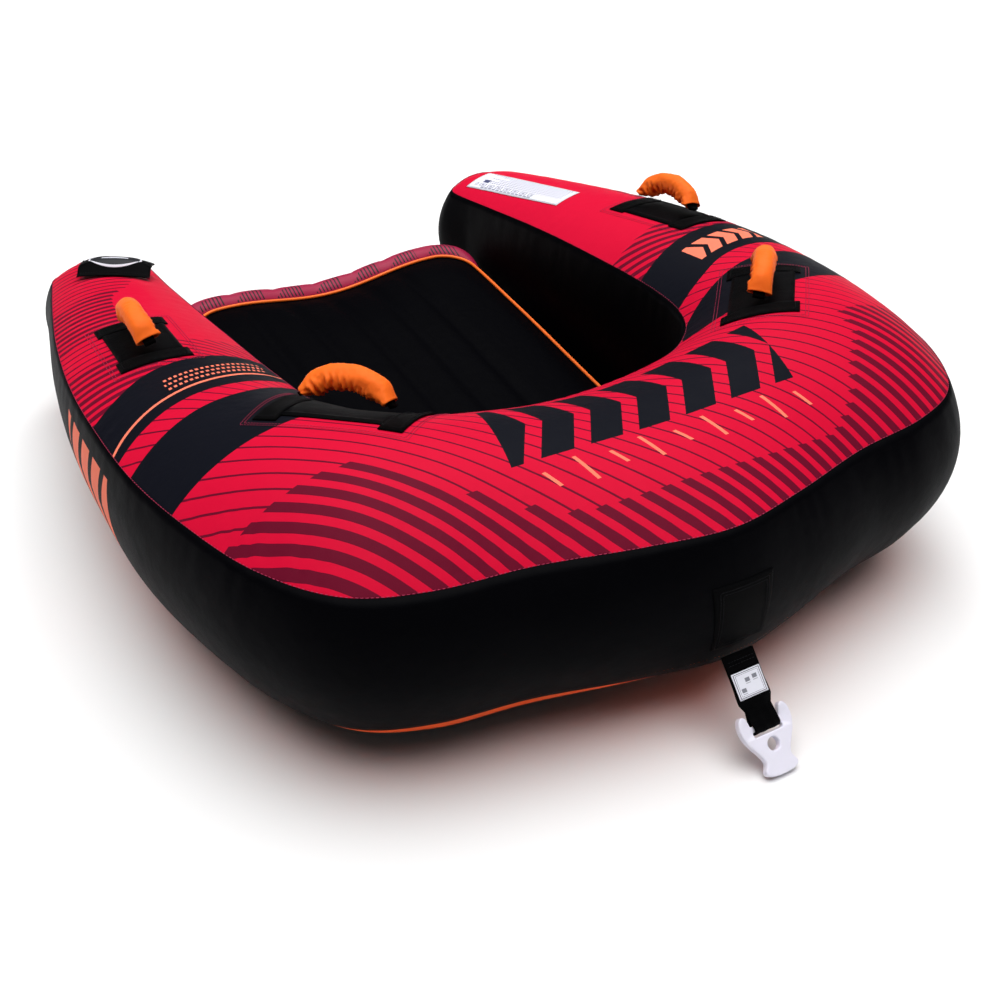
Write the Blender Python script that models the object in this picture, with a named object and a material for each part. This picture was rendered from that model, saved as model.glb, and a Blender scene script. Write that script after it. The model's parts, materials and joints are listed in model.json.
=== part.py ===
"""A towable tube for two riders: a horseshoe-shaped inflated ring round an inflated seat.

Metres, +Z up. The nose, where the tow line pulls, points along -Y. The riders climb in from +Y,
between the two arms. The tube stands on z = 0, with the origin under the middle of its whole box.
"""

import math

import bmesh
import bpy
from mathutils import Matrix, Vector
from mathutils.bvhtree import BVHTree

# ---------------------------------------------------------------- driving dimensions
SHIFT_Y = 0.1298  # moves the ring so that the box of the whole object is centred on the origin

# Right half of the ring's top panel, seen from above: the nose first, the arm's end last.
# Both lists run side by side, so point k of one faces point k of the other across the tube.
OUTER_SEAM = [
    (0.000, -0.873), (0.150, -0.846), (0.320, -0.801), (0.480, -0.777), (0.600, -0.722),
    (0.680, -0.600), (0.725, -0.440), (0.752, -0.260), (0.752, -0.050), (0.735, 0.130),
    (0.700, 0.320), (0.655, 0.500), (0.610, 0.660), (0.592, 0.708), (0.555, 0.738),
]
INNER_SEAM = [
    (0.000, -0.400), (0.100, -0.395), (0.190, -0.380), (0.265, -0.354), (0.315, -0.318),
    (0.352, -0.275), (0.378, -0.215), (0.394, -0.130), (0.402, 0.000), (0.405, 0.160),
    (0.406, 0.340), (0.402, 0.520), (0.395, 0.680), (0.402, 0.728), (0.430, 0.752),
]
CROWN = [  # height of the top panel's crown above its seams, at the same places
    0.083, 0.088, 0.099, 0.109, 0.111, 0.102, 0.087, 0.070, 0.057, 0.049, 0.042, 0.036, 0.030, 0.025, 0.018,
]
LAST_KEY = len(OUTER_SEAM) - 1
STEPS_PER_KEY = 2
ACROSS = 6  # faces across the top and the bottom of the tube
WALL_ROWS = 4

SEAM_HEIGHT = 0.380  # top seam above the floor, round the front
SEAM_DROP = 0.080  # how much lower the seam lies at the arms' ends
SEAM_DROP_START = -0.100  # y where the seam begins to drop
SEAM_DROP_RUN = 0.840
LOW_SEAM_ARM = 0.080  # bottom seam above the floor, along the arms
LOW_SEAM_RISE = 0.055  # how much higher it lies at the nose
NOSE_KEYS = 3.0  # the nose is the stretch this many keys long, either side of the middle
NOSE_LIFT = 0.045  # the belly clears the floor by this under the nose
END_LIFT = 0.035  # and by this under the arms' ends
END_KEYS = 3.0
TUCK_NOSE = -0.015  # how far the bottom seam lies inside the top seam, round the outside
TUCK_ARM = 0.050
TUCK_INNER = 0.010
LOW_INNER = 0.035  # how much lower the bottom seam lies round the inside than round the outside
INNER_SAG = 0.012  # how much lower the top seam lies inside than outside, halfway down an arm
BULGE_FRONT = 0.048  # how far a wall swells past the straight line between its seams
BULGE_NOSE = 0.030
BULGE_ARM = 0.036
BULGE_INNER = 0.016
BULGE_END = 0.040
CROWN_POWER = 2.2
BELLY_POWER = 2.4

COVER_THICKNESS = 0.0015
BLADDER_INSET = 0.0045
SEAM_GAP = 0.0006

SEAT_HALF = 0.345  # half width of the deck inside its piping
SEAT_FRONT = -0.335
SEAT_REAR = 0.600
SEAT_FRONT_RADIUS = 0.200
SEAT_REAR_RADIUS = 0.070
SEAT_BASE = 0.040
SEAT_LOW = 0.085  # height of the deck's edge at the front
SEAT_HIGH = 0.180  # and at the rear
SEAT_CROWN = 0.022
SEAT_SIDE_BULGE = 0.022
SEAT_REAR_BULGE = 0.070
SEAT_REAR_RISE = 0.056
SEAT_WAVE = 0.014  # the outer channels stand this much proud at the rear edge
SEAT_COLUMNS = (-1.0, -0.98, -0.90, -0.76, -0.52, -0.26, 0.0)
SEAT_ROWS = 7
PIPING_RADIUS = 0.0045
WEB_LAST_KEY = 11  # the web between seat and ring runs this far down each arm
WEB_OFF_RING = 0.006
WEB_OFF_SEAT = 0.026
WEB_RISE = 0.004

# Centre x and y, the turn away from the Y axis, the handle's length, its strips' length and the
# grip's lean to the right as it hangs at rest.
HANDLE_SPOTS = {
    "front_left": (-0.418, -0.377, 40.0, 0.258, 0.158, 0.0),
    "front_right": (0.448, -0.380, -41.0, 0.250, 0.138, 30.0),
    "rear_left": (-0.588, 0.128, -5.0, 0.228, 0.132, -12.0),
    "rear_right": (0.600, 0.125, 6.0, 0.228, 0.130, 15.0),
}
STRIP_WIDTH = 0.042
PAD_WIDTH = 0.118
PAD_GAP = 0.002
TRIM_LIFT = 0.0030  # clearance of sewn-on trim over the faceted cover
STRIP_THICKNESS = 0.0030
PAD_THICKNESS = 0.0060
PIVOT_HEIGHT = 0.0235  # the grip leans about a line this far above the cover
GRIP_REACH = 0.082  # half the span of the webbing between its anchors
GRIP_RISE = 0.039
GRIP_POWER = 2.3
SLEEVE_SHARE = 0.88  # the padded sleeve covers this share of the webbing
SLEEVE_RADIUS = 0.0215
SLEEVE_WALL = 0.0050
CORE_RADIUS = 0.0100
CORE_END_RADIUS = 0.0055
GRIP_SEGMENTS = 10
SLEEVE_SIDES = 8
CORE_SIDES = 6

TOW_PIVOT = (-0.906, 0.157)  # y and z of the line that the tow strap swings about
TOW_ANGLE = math.radians(47.5)  # the strap points forward and this much below level
STRAP_WIDTH = 0.062
STRAP_WIDTH_AT_BAR = 0.053
STRAP_THICKNESS = 0.0056
STRAP_LENGTH = 0.124  # from the swing line to the connector's bar
WEB_THICKNESS = 0.0025
LABEL_FROM = 0.031  # the strap's label covers this stretch of it
LABEL_TO = 0.075
BAR_RADIUS = 0.0060
BAR_HALF = 0.0042  # half the side of its square section, which fits in that radius
BAR_CLEARANCE = 0.0006
CONNECTOR_THICKNESS = 0.0140
CONNECTOR_HOLE = 0.0112
CONNECTOR_HOLE_AT = 0.032
EAR_INSIDE = 0.0285
# Right half of the connector's outline: across, and along from the bar towards the foot.
CONNECTOR_OUTLINE = [
    (0.0330, -0.021), (0.0380, -0.026), (0.0450, -0.024), (0.0500, -0.015), (0.0515, -0.003),
    (0.0485, 0.012), (0.0410, 0.027), (0.0310, 0.042), (0.0250, 0.054), (0.0265, 0.061),
    (0.0330, 0.069), (0.0310, 0.077), (0.0180, 0.082),
]
SLOT_DEPTH = 0.0150

VALVE_SPOT = (-0.492, 0.583)
SEAT_VALVE_SPOT = (0.000, 0.105)  # x and z of the seat's valve, on its rear wall
VALVE_FLANGE_RADIUS = 0.030
VALVE_BODY_RADIUS = 0.020
VALVE_BORE_RADIUS = 0.013
VALVE_CAP_RADIUS = 0.023
FLAP_SIZE = (0.150, 0.076)
FLAP_TURN = -28.0
FLAP_SAG = 0.35  # share of its rise that the flap loses behind the valve
FLAP_THICKNESS = 0.0025
FLAP_RISE = 0.0245
BADGE_SIZE = (0.104, 0.042)
BADGE_CLEARANCE = 0.0025

ZIP_LENGTH = 0.560
ZIP_Y = 0.420
LABEL_SIZE = (0.325, 0.072)
LABEL_SPOT = (0.483, 0.535, 9.0)


# ---------------------------------------------------------------- scene and materials
def clear_scene():
    for old in list(bpy.data.objects):
        bpy.data.objects.remove(old, do_unlink=True)


def material(name, colour, roughness, metallic=0.0):
    made = bpy.data.materials.get(name)
    if made:
        return made
    made = bpy.data.materials.new(name)
    made.use_nodes = True
    shader = made.node_tree.nodes["Principled BSDF"]
    shader.inputs["Base Color"].default_value = (*colour, 1.0)
    shader.inputs["Roughness"].default_value = roughness
    shader.inputs["Metallic"].default_value = metallic
    made.diffuse_color = (*colour, 1.0)
    return made


RED = ("red_nylon", (0.75, 0.010, 0.045), 0.55)
BLACK = ("black_nylon", (0.008, 0.008, 0.011), 0.60)
ORANGE = ("orange_nylon", (0.95, 0.16, 0.020), 0.55)
UNDERSIDE = ("orange_tarpaulin", (0.55, 0.035, 0.014), 0.50)
CRIMSON = ("crimson_nylon", (0.30, 0.012, 0.045), 0.55)
VINYL = ("grey_vinyl", (0.22, 0.22, 0.23), 0.35)
FOAM = ("black_foam", (0.010, 0.010, 0.012), 0.85)
WEBBING = ("black_webbing", (0.010, 0.010, 0.012), 0.70)
WHITE_PLASTIC = ("white_plastic", (0.72, 0.70, 0.82), 0.35)
BLACK_PLASTIC = ("black_plastic", (0.015, 0.015, 0.017), 0.40)
PRINT = ("white_print", (0.80, 0.80, 0.86), 0.60)


def add_object(name, mesh_data, finish, pivot=None):
    """Makes the mesh an object. A pivot becomes the object's origin, and its shape stays put."""
    mesh = bpy.data.meshes.new(name)
    mesh_data.to_mesh(mesh)
    mesh_data.free()
    mesh.materials.append(material(*finish))
    mesh.shade_smooth()
    mesh.set_sharp_from_angle(angle=math.radians(35.0))
    made = bpy.data.objects.new(name, mesh)
    bpy.context.scene.collection.objects.link(made)
    if pivot is not None:
        mesh.transform(Matrix.Translation(-Vector(pivot)))
        made.location = pivot
    return made


def smoothstep(low, high, value):
    share = min(1.0, max(0.0, (value - low) / (high - low)))
    return share * share * (3.0 - 2.0 * share)


# ---------------------------------------------------------------- inflated bodies
def outline(points, key):
    """A smooth curve through the right half's points, mirrored past the nose."""

    def point(k):
        if k < 0:
            return Vector((-points[-k][0], points[-k][1]))
        return Vector(points[min(k, LAST_KEY)])

    k = min(int(key), LAST_KEY - 1)
    f = key - k
    a, b, c, d = (point(k + step) for step in (-1, 0, 1, 2))
    return 0.5 * (2 * b + (c - a) * f + (2 * a - 5 * b + 4 * c - d) * f**2 + (3 * b - a - 3 * c + d) * f**3)


def seam_height(y):
    return SEAM_HEIGHT - SEAM_DROP * (max(0.0, y - SEAM_DROP_START) / SEAM_DROP_RUN) ** 1.5


def noseness(key):
    return 1.0 - smoothstep(0.0, NOSE_KEYS, key)


def endness(key):
    return max(0.0, (key - (LAST_KEY - END_KEYS)) / END_KEYS)


def ring_station(signed_key):
    """The top and bottom lines across the tube at one place along the ring, outer seam first."""
    key = abs(signed_key)
    side = -1.0 if signed_key < 0 else 1.0
    outer = outline(OUTER_SEAM, key)
    inner = outline(INNER_SEAM, key)
    end = endness(key)
    whole = min(int(key), LAST_KEY - 1)
    crown = CROWN[whole] + (CROWN[whole + 1] - CROWN[whole]) * (key - whole)
    outer_tuck = TUCK_ARM + (TUCK_NOSE - TUCK_ARM) * (1.0 - smoothstep(0.0, 7.0, key))
    outer_tuck += (TUCK_INNER - outer_tuck) * end
    low_seam = LOW_SEAM_ARM + LOW_SEAM_RISE * (1.0 - smoothstep(0.0, 8.0, key))
    low_inner_seam = low_seam - LOW_INNER * (1.0 - end)
    sag = INNER_SAG * smoothstep(5.0, 9.0, key) * (1.0 - end)
    belly = NOSE_LIFT * noseness(key) + END_LIFT * end**1.5
    across = (inner - outer).normalized()
    low_outer = outer + across * outer_tuck
    low_inner = inner - across * TUCK_INNER
    top = []
    low = []
    for step in range(ACROSS + 1):
        share = step / ACROSS
        q = 2.0 * share - 1.0
        spot = outer.lerp(inner, share)
        z = seam_height(spot.y) - sag * share + crown * (1.0 - abs(q) ** CROWN_POWER)
        top.append(Vector((side * spot.x, spot.y + SHIFT_Y, z)))
        spot = low_outer.lerp(low_inner, share)
        z = low_seam + (low_inner_seam - low_seam) * share
        z += (belly - z) * (1.0 - abs(q) ** BELLY_POWER)
        low.append(Vector((side * spot.x, spot.y + SHIFT_Y, z)))
    return top, low


def ring_bulge(point, share):
    """Sideways swell of the ring's wall below the given point of its top seam, and no rise."""
    x = abs(point.x)
    y = point.y - SHIFT_Y
    swell = BULGE_NOSE + (BULGE_FRONT - BULGE_NOSE) * smoothstep(0.0, 0.30, x)
    swell += (BULGE_ARM - swell) * smoothstep(-0.45, 0.0, y)
    if x < 0.41 and y > -0.5:
        swell = BULGE_INNER
    swell += (BULGE_END - swell) * smoothstep(0.62, 0.72, y)
    return 4.0 * swell * share * (1.0 - share), 0.0


def seat_edge_height(x, y):
    """The deck's edge: low at the front, high at the rear, where the two outer channels stand proud."""
    rise = smoothstep(SEAT_FRONT, SEAT_REAR, y)
    wave = SEAT_WAVE * math.cos(2.0 * math.pi * x / (1.5 * SEAT_HALF)) * smoothstep(0.35, SEAT_REAR, y)
    return SEAT_LOW + (SEAT_HIGH - SEAT_LOW) * rise - wave


def seat_column(share):
    x = share * SEAT_HALF

    def rounding(radius):
        c = min(1.0, max(0.0, (abs(x) - (SEAT_HALF - radius)) / radius))
        return radius * (1.0 - math.sqrt(1.0 - c * c))

    front = SEAT_FRONT + rounding(SEAT_FRONT_RADIUS)
    rear = SEAT_REAR - rounding(SEAT_REAR_RADIUS)
    top = []
    low = []
    for step in range(SEAT_ROWS + 1):
        along = step / SEAT_ROWS
        y = front + (rear - front) * along
        dome = (1.0 - share**4) * (1.0 - (2.0 * along - 1.0) ** 4)
        top.append(Vector((x, y + SHIFT_Y, seat_edge_height(x, y) + SEAT_CROWN * dome)))
        low.append(Vector((x, y + SHIFT_Y, SEAT_BASE)))
    return top, low


def seat_bulge(point, share):
    """Sideways swell and rise of the seat's side panel below the given point of its edge."""
    rear = smoothstep(SEAT_REAR - 1.2 * SEAT_REAR_RADIUS, SEAT_REAR, point.y - SHIFT_Y)
    swell = SEAT_SIDE_BULGE + (SEAT_REAR_BULGE - SEAT_SIDE_BULGE) * rear
    roundness = math.sqrt(1.0 - (1.0 - 2.0 * share) ** 2)
    return swell * roundness, SEAT_REAR_RISE * rear * roundness * (1.0 - share)


def inflated_body(stations, bulge, wall_rows):
    """Points and tagged faces of a closed body: a top sheet, a bottom sheet and the wall round both."""
    points = []
    tops = []
    lows = []
    for top, low in stations:
        tops.append(range(len(points), len(points) + len(top)))
        points.extend(top)
        lows.append(range(len(points), len(points) + len(low)))
        points.extend(low)
    last = len(stations) - 1
    width = len(tops[0]) - 1
    rim = [(i, 0) for i in range(last + 1)]
    rim += [(last, j) for j in range(1, width + 1)]
    rim += [(i, width) for i in range(last - 1, -1, -1)]
    rim += [(0, j) for j in range(width - 1, 0, -1)]
    faces = {"top": [], "wall": [], "low": []}
    for i in range(last):
        for j in range(width):
            faces["top"].append((tops[i][j], tops[i + 1][j], tops[i + 1][j + 1], tops[i][j + 1]))
            faces["low"].append((lows[i][j + 1], lows[i + 1][j + 1], lows[i + 1][j], lows[i][j]))
    columns = []
    for k, (i, j) in enumerate(rim):
        before = rim[k - 1]
        after = rim[(k + 1) % len(rim)]
        along = points[tops[after[0]][after[1]]] - points[tops[before[0]][before[1]]]
        outward = Vector((along.y, -along.x, 0.0)).normalized()
        high = points[tops[i][j]]
        low = points[lows[i][j]]
        column = [tops[i][j]]
        for row in range(1, wall_rows):
            share = row / wall_rows
            swell, rise = bulge(high, share)
            column.append(len(points))
            points.append(high.lerp(low, share) + outward * swell + Vector((0.0, 0.0, rise)))
        column.append(lows[i][j])
        columns.append(column)
    for k, column in enumerate(columns):
        after = columns[(k + 1) % len(columns)]
        for row in range(wall_rows):
            faces["wall"].append((column[row], column[row + 1], after[row + 1], after[row]))
    for name, quads in faces.items():
        faces[name] = [corners for a, b, c, d in quads for corners in ((a, b, c), (a, c, d))]
    return points, faces


def point_normals(points, faces):
    mesh = bpy.data.meshes.new("normals")
    mesh.from_pydata(points, [], [f for group in faces.values() for f in group])
    mesh.update()
    normals = [Vector(n.vector) for n in mesh.vertex_normals]
    bpy.data.meshes.remove(mesh)
    return normals


def closed_mesh(points, faces):
    made = bmesh.new()
    verts = [made.verts.new(p) for p in points]
    for face in faces:
        made.faces.new([verts[i] for i in face])
    bmesh.ops.recalc_face_normals(made, faces=made.faces)
    return made


def panel_mesh(points, faces, normals, tag):
    """One cover panel as a thin closed shell, trimmed back a little along the seams it shares."""
    used = sorted({i for face in faces[tag] for i in face})
    shared = {i for name, group in faces.items() if name != tag for face in group for i in face}
    inward = {i: Vector() for i in used}
    for face in faces[tag]:
        centre = sum((points[i] for i in face), Vector()) / len(face)
        for i in face:
            inward[i] += (centre - points[i]).normalized()
    outside = {}
    inside = {}
    shell = []
    for i in used:
        trim = inward[i].normalized() * SEAM_GAP if i in shared else Vector()
        outside[i] = len(shell)
        shell.append(points[i] + trim)
        inside[i] = len(shell)
        shell.append(points[i] + trim - normals[i] * COVER_THICKNESS)
    made = []
    edges = set()
    for face in faces[tag]:
        made.append([outside[i] for i in face])
        made.append([inside[i] for i in reversed(face)])
        edges |= set(zip(face, face[1:] + face[:1]))
    for a, b in sorted(edges):
        if (b, a) not in edges:
            made.append([outside[b], outside[a], inside[a], inside[b]])
    return closed_mesh(shell, made)


def bladder_mesh(points, faces, normals):
    shrunk = [p - n * BLADDER_INSET for p, n in zip(points, normals)]
    return closed_mesh(shrunk, [f for group in faces.values() for f in group])


def build_ring():
    steps = LAST_KEY * STEPS_PER_KEY
    stations = [ring_station(i / STEPS_PER_KEY) for i in range(-steps, steps + 1)]
    points, faces = inflated_body(stations, ring_bulge, WALL_ROWS)
    normals = point_normals(points, faces)
    add_object("cover_top_panel", panel_mesh(points, faces, normals, "top"), RED)
    add_object("cover_side_wall", panel_mesh(points, faces, normals, "wall"), BLACK)
    add_object("cover_bottom_panel", panel_mesh(points, faces, normals, "low"), UNDERSIDE)
    add_object("tube_bladder", bladder_mesh(points, faces, normals), VINYL)
    return BVHTree.FromPolygons(points, [f for group in faces.values() for f in group])


def build_seat():
    shares = list(SEAT_COLUMNS) + [-s for s in reversed(SEAT_COLUMNS[:-1])]
    stations = [seat_column(share) for share in shares]
    points, faces = inflated_body(stations, seat_bulge, WALL_ROWS)
    normals = point_normals(points, faces)
    add_object("seat_deck", panel_mesh(points, faces, normals, "top"), BLACK)
    add_object("seat_side_panel", panel_mesh(points, faces, normals, "wall"), CRIMSON)
    add_object("seat_bottom_panel", panel_mesh(points, faces, normals, "low"), UNDERSIDE)
    add_object("seat_bladder", bladder_mesh(points, faces, normals), VINYL)
    width = len(stations[0][0]) - 1
    edge = [stations[i][0][0] for i in range(len(stations))]
    edge += [stations[-1][0][j] for j in range(1, width + 1)]
    edge += [stations[i][0][width] for i in range(len(stations) - 2, -1, -1)]
    edge += [stations[0][0][j] for j in range(width - 1, 0, -1)]
    lift = PIPING_RADIUS + SEAM_GAP + 0.0012
    add_object("seat_piping", piping_mesh([p + Vector((0.0, 0.0, lift)) for p in edge]), ORANGE)
    return BVHTree.FromPolygons(points, [f for group in faces.values() for f in group])


def build_joining_web():
    """The strip of fabric that hangs the seat between the arms, just above the bottom seams."""
    columns, rows = len(SEAT_COLUMNS), SEAT_ROWS
    right = [seat_column(-share)[1] for share in reversed(SEAT_COLUMNS)]
    edge = [line[0] for line in right[:columns]] + right[-1][1:rows + 1]

    def place(u, v, side):
        key = WEB_LAST_KEY * (2.0 * u - 1.0)
        low = ring_station(abs(key))[1]
        ring_point = low[-1] + (low[-1] - low[-2]).xy.normalized().to_3d() * WEB_OFF_RING
        seat_point = min((nearest_on(ring_point, a, b) for a, b in zip(edge, edge[1:])),
                         key=lambda p: (p.xy - ring_point.xy).length)
        seat_point = seat_point + (ring_point - seat_point).xy.normalized().to_3d() * WEB_OFF_SEAT
        seat_point.z = SEAT_BASE + 0.012
        spot = seat_point.lerp(ring_point, v) + Vector((0.0, 0.0, WEB_RISE + 0.002 * side))
        return Vector((math.copysign(spot.x, key), spot.y, spot.z))

    add_object("seat_joining_web", sheet_mesh(1, 4 * WEB_LAST_KEY, place), BLACK)


def nearest_on(point, start, stop):
    """The point of the level line from start to stop that lies nearest, seen from above."""
    run = (stop - start).xy
    share = (point - start).xy.dot(run) / max(run.length_squared, 1e-12)
    return start.lerp(stop, min(1.0, max(0.0, share)))


def piping_mesh(loop, sides=6):
    """A thin round cord along a closed loop."""
    points = []
    count = len(loop)
    for k, centre in enumerate(loop):
        along = (loop[(k + 1) % count] - loop[k - 1]).normalized()
        side = along.cross(Vector((0.0, 0.0, 1.0))).normalized()
        up = side.cross(along)
        for s in range(sides):
            turn = 2.0 * math.pi * s / sides
            points.append(centre + (side * math.cos(turn) + up * math.sin(turn)) * PIPING_RADIUS)
    faces = []
    for k in range(count):
        near = k * sides
        far = (k + 1) % count * sides
        for s in range(sides):
            n = (s + 1) % sides
            faces.append((near + s, far + s, far + n, near + n))
    return closed_mesh(points, faces)


# ---------------------------------------------------------------- trim that lies on the cover
class Spot:
    """A place on an inflated surface, with axes along the trim, across it and out of the surface."""

    def __init__(self, surface, x, y, turn_degrees):
        self.surface = surface
        self.centre, normal = self.drop(x, y + SHIFT_Y)
        turn = math.radians(turn_degrees)
        along = Vector((-math.sin(turn), math.cos(turn), 0.0))
        self.flat_along = along
        self.flat_across = Vector((math.cos(turn), math.sin(turn), 0.0))
        self.across = along.cross(normal).normalized()
        self.along = normal.cross(self.across).normalized()
        self.normal = normal

    def drop(self, x, y):
        hit, normal, _, _ = self.surface.ray_cast(Vector((x, y, 1.0)), Vector((0.0, 0.0, -1.0)))
        return hit, normal

    def on_cover(self, across, along, lift):
        flat = self.centre + self.flat_along * along + self.flat_across * across
        hit, _ = self.drop(flat.x, flat.y)
        return hit + self.normal * lift

    def above(self, across, along, lift):
        """A point in the spot's own straight axes."""
        return self.centre + self.across * across + self.along * along + self.normal * lift


def sheet_mesh(rows, columns, place):
    """A closed sheet: place(u, v, side) gives its points, u and v from 0 to 1, side 0 below and 1 above."""
    points = []
    index = {}
    for side in (0, 1):
        for i in range(columns + 1):
            for j in range(rows + 1):
                index[side, i, j] = len(points)
                points.append(place(i / columns, j / rows, side))
    faces = []
    for i in range(columns):
        for j in range(rows):
            faces.append([index[1, i, j], index[1, i + 1, j], index[1, i + 1, j + 1], index[1, i, j + 1]])
            faces.append([index[0, i, j + 1], index[0, i + 1, j + 1], index[0, i + 1, j], index[0, i, j]])
    for i in range(columns):
        for j in (0, rows):
            faces.append([index[0, i, j], index[0, i + 1, j], index[1, i + 1, j], index[1, i, j]])
    for j in range(rows):
        for i in (0, columns):
            faces.append([index[0, i, j], index[1, i, j], index[1, i, j + 1], index[0, i, j + 1]])
    return closed_mesh(points, faces)


def cover_patch(spot, centre, size, lift, thickness, rows, columns):
    """A flat piece sewn onto the cover, which follows its curve."""

    def place(u, v, side):
        across = centre[0] + (u - 0.5) * size[0]
        along = centre[1] + (v - 0.5) * size[1]
        return spot.on_cover(across, along, lift + thickness * side)

    return sheet_mesh(rows, columns, place)


# ---------------------------------------------------------------- handles
def grip_line(share):
    """The grip's centre line in the handle's own axes: along and up, for a share from -1 to 1."""
    return GRIP_REACH * share, PIVOT_HEIGHT + GRIP_RISE * (1.0 - abs(share) ** GRIP_POWER)


def grip_rings(spot, lean, reach, radius_at, sides):
    """Rings of points along the grip, which leans about its pivot line."""
    sine = math.sin(math.radians(lean))
    cosine = math.cos(math.radians(lean))
    rings = []
    for step in range(GRIP_SEGMENTS + 1):
        share = reach * (2.0 * step / GRIP_SEGMENTS - 1.0)
        along, up = grip_line(share)
        ahead = grip_line(min(1.0, share + 0.02))
        behind = grip_line(max(-1.0, share - 0.02))
        slope = Vector((ahead[0] - behind[0], ahead[1] - behind[1])).normalized()
        radius = radius_at(share)
        ring = []
        for s in range(sides):
            turn = 2.0 * math.pi * (s + 0.5) / sides
            aside = radius * math.cos(turn)
            lift = radius * math.sin(turn)
            high = up + slope.x * lift - PIVOT_HEIGHT
            ring.append(spot.above(aside * cosine + high * sine, along - slope.y * lift,
                                   PIVOT_HEIGHT + high * cosine - aside * sine))
        rings.append(ring)
    return rings


def tube_faces(rings, sides, start=0, flip=False):
    faces = []
    for r in range(len(rings) - 1):
        for s in range(sides):
            n = (s + 1) % sides
            near = start + r * sides
            far = near + sides
            face = [near + s, near + n, far + n, far + s]
            faces.append(face[::-1] if flip else face)
    return faces


def core_mesh(spot, lean):
    def radius_at(share):
        return CORE_END_RADIUS + (CORE_RADIUS - CORE_END_RADIUS) * (1.0 - smoothstep(0.72, 0.98, abs(share)))

    rings = grip_rings(spot, lean, 1.0, radius_at, CORE_SIDES)
    points = [p for ring in rings for p in ring]
    faces = tube_faces(rings, CORE_SIDES)
    faces.append(list(range(CORE_SIDES)))
    faces.append(list(range(len(points) - CORE_SIDES, len(points))))
    return closed_mesh(points, faces)


def sleeve_mesh(spot, lean):
    bore = SLEEVE_RADIUS - SLEEVE_WALL
    outer = grip_rings(spot, lean, SLEEVE_SHARE, lambda share: SLEEVE_RADIUS, SLEEVE_SIDES)
    inner = grip_rings(spot, lean, SLEEVE_SHARE, lambda share: bore, SLEEVE_SIDES)
    points = [p for ring in outer + inner for p in ring]
    half = len(points) // 2
    faces = tube_faces(outer, SLEEVE_SIDES) + tube_faces(inner, SLEEVE_SIDES, half, flip=True)
    for first in (0, half - SLEEVE_SIDES):
        for s in range(SLEEVE_SIDES):
            n = (s + 1) % SLEEVE_SIDES
            faces.append([first + s, first + n, half + first + n, half + first + s])
    return closed_mesh(points, faces)


def build_handle(name, surface, x, y, turn, length, strip_length, lean):
    spot = Spot(surface, x, y, turn)
    strip_at = 0.5 * (length - STRIP_WIDTH)
    pad_length = length - 2.0 * STRIP_WIDTH - 2.0 * PAD_GAP
    pivot = spot.above(0.0, 0.0, PIVOT_HEIGHT)
    for end, side in (("front", -1.0), ("rear", 1.0)):
        strip = cover_patch(spot, (0.0, side * strip_at), (strip_length, STRIP_WIDTH), TRIM_LIFT,
                            STRIP_THICKNESS, 2, 6)
        add_object(f"anchor_strip_{name}_{end}", strip, WEBBING)
    pad = cover_patch(spot, (0.0, 0.0), (PAD_WIDTH, pad_length), TRIM_LIFT, PAD_THICKNESS, 4, 5)
    add_object(f"knuckle_pad_{name}", pad, FOAM)
    add_object(f"grip_webbing_{name}", core_mesh(spot, lean), WEBBING, pivot)
    add_object(f"grip_sleeve_{name}", sleeve_mesh(spot, lean), ORANGE, pivot)


# ---------------------------------------------------------------- towing point
def tow_point(across, along, out):
    """A point in the tow strap's own axes: across the tube, along from the swing line, and out of it."""
    y, z = TOW_PIVOT
    return Vector((
        across,
        y + SHIFT_Y - along * math.cos(TOW_ANGLE) - out * math.sin(TOW_ANGLE),
        z - along * math.sin(TOW_ANGLE) + out * math.cos(TOW_ANGLE),
    ))


def prism_mesh(loops, half_width, place):
    """Extrudes flat loops, the outside first and then any hole, by half_width both ways."""
    made = bmesh.new()
    for loop in loops:
        ring = [made.verts.new(place(p, -half_width)) for p in loop]
        for a, b in zip(ring, ring[1:] + ring[:1]):
            made.edges.new((a, b))
    bmesh.ops.triangle_fill(made, use_beauty=True, edges=made.edges[:])
    top = bmesh.ops.extrude_face_region(made, geom=made.faces[:])
    shift = place((0.0, 0.0), half_width) - place((0.0, 0.0), -half_width)
    raised = [v for v in top["geom"] if isinstance(v, bmesh.types.BMVert)]
    bmesh.ops.translate(made, vec=shift, verts=raised)
    bmesh.ops.recalc_face_normals(made, faces=made.faces)
    return made


def arc(centre, radius, start, stop, count):
    turns = [math.radians(start + (stop - start) * k / (count - 1)) for k in range(count)]
    return [(centre[0] + radius * math.cos(t), centre[1] + radius * math.sin(t)) for t in turns]


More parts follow.
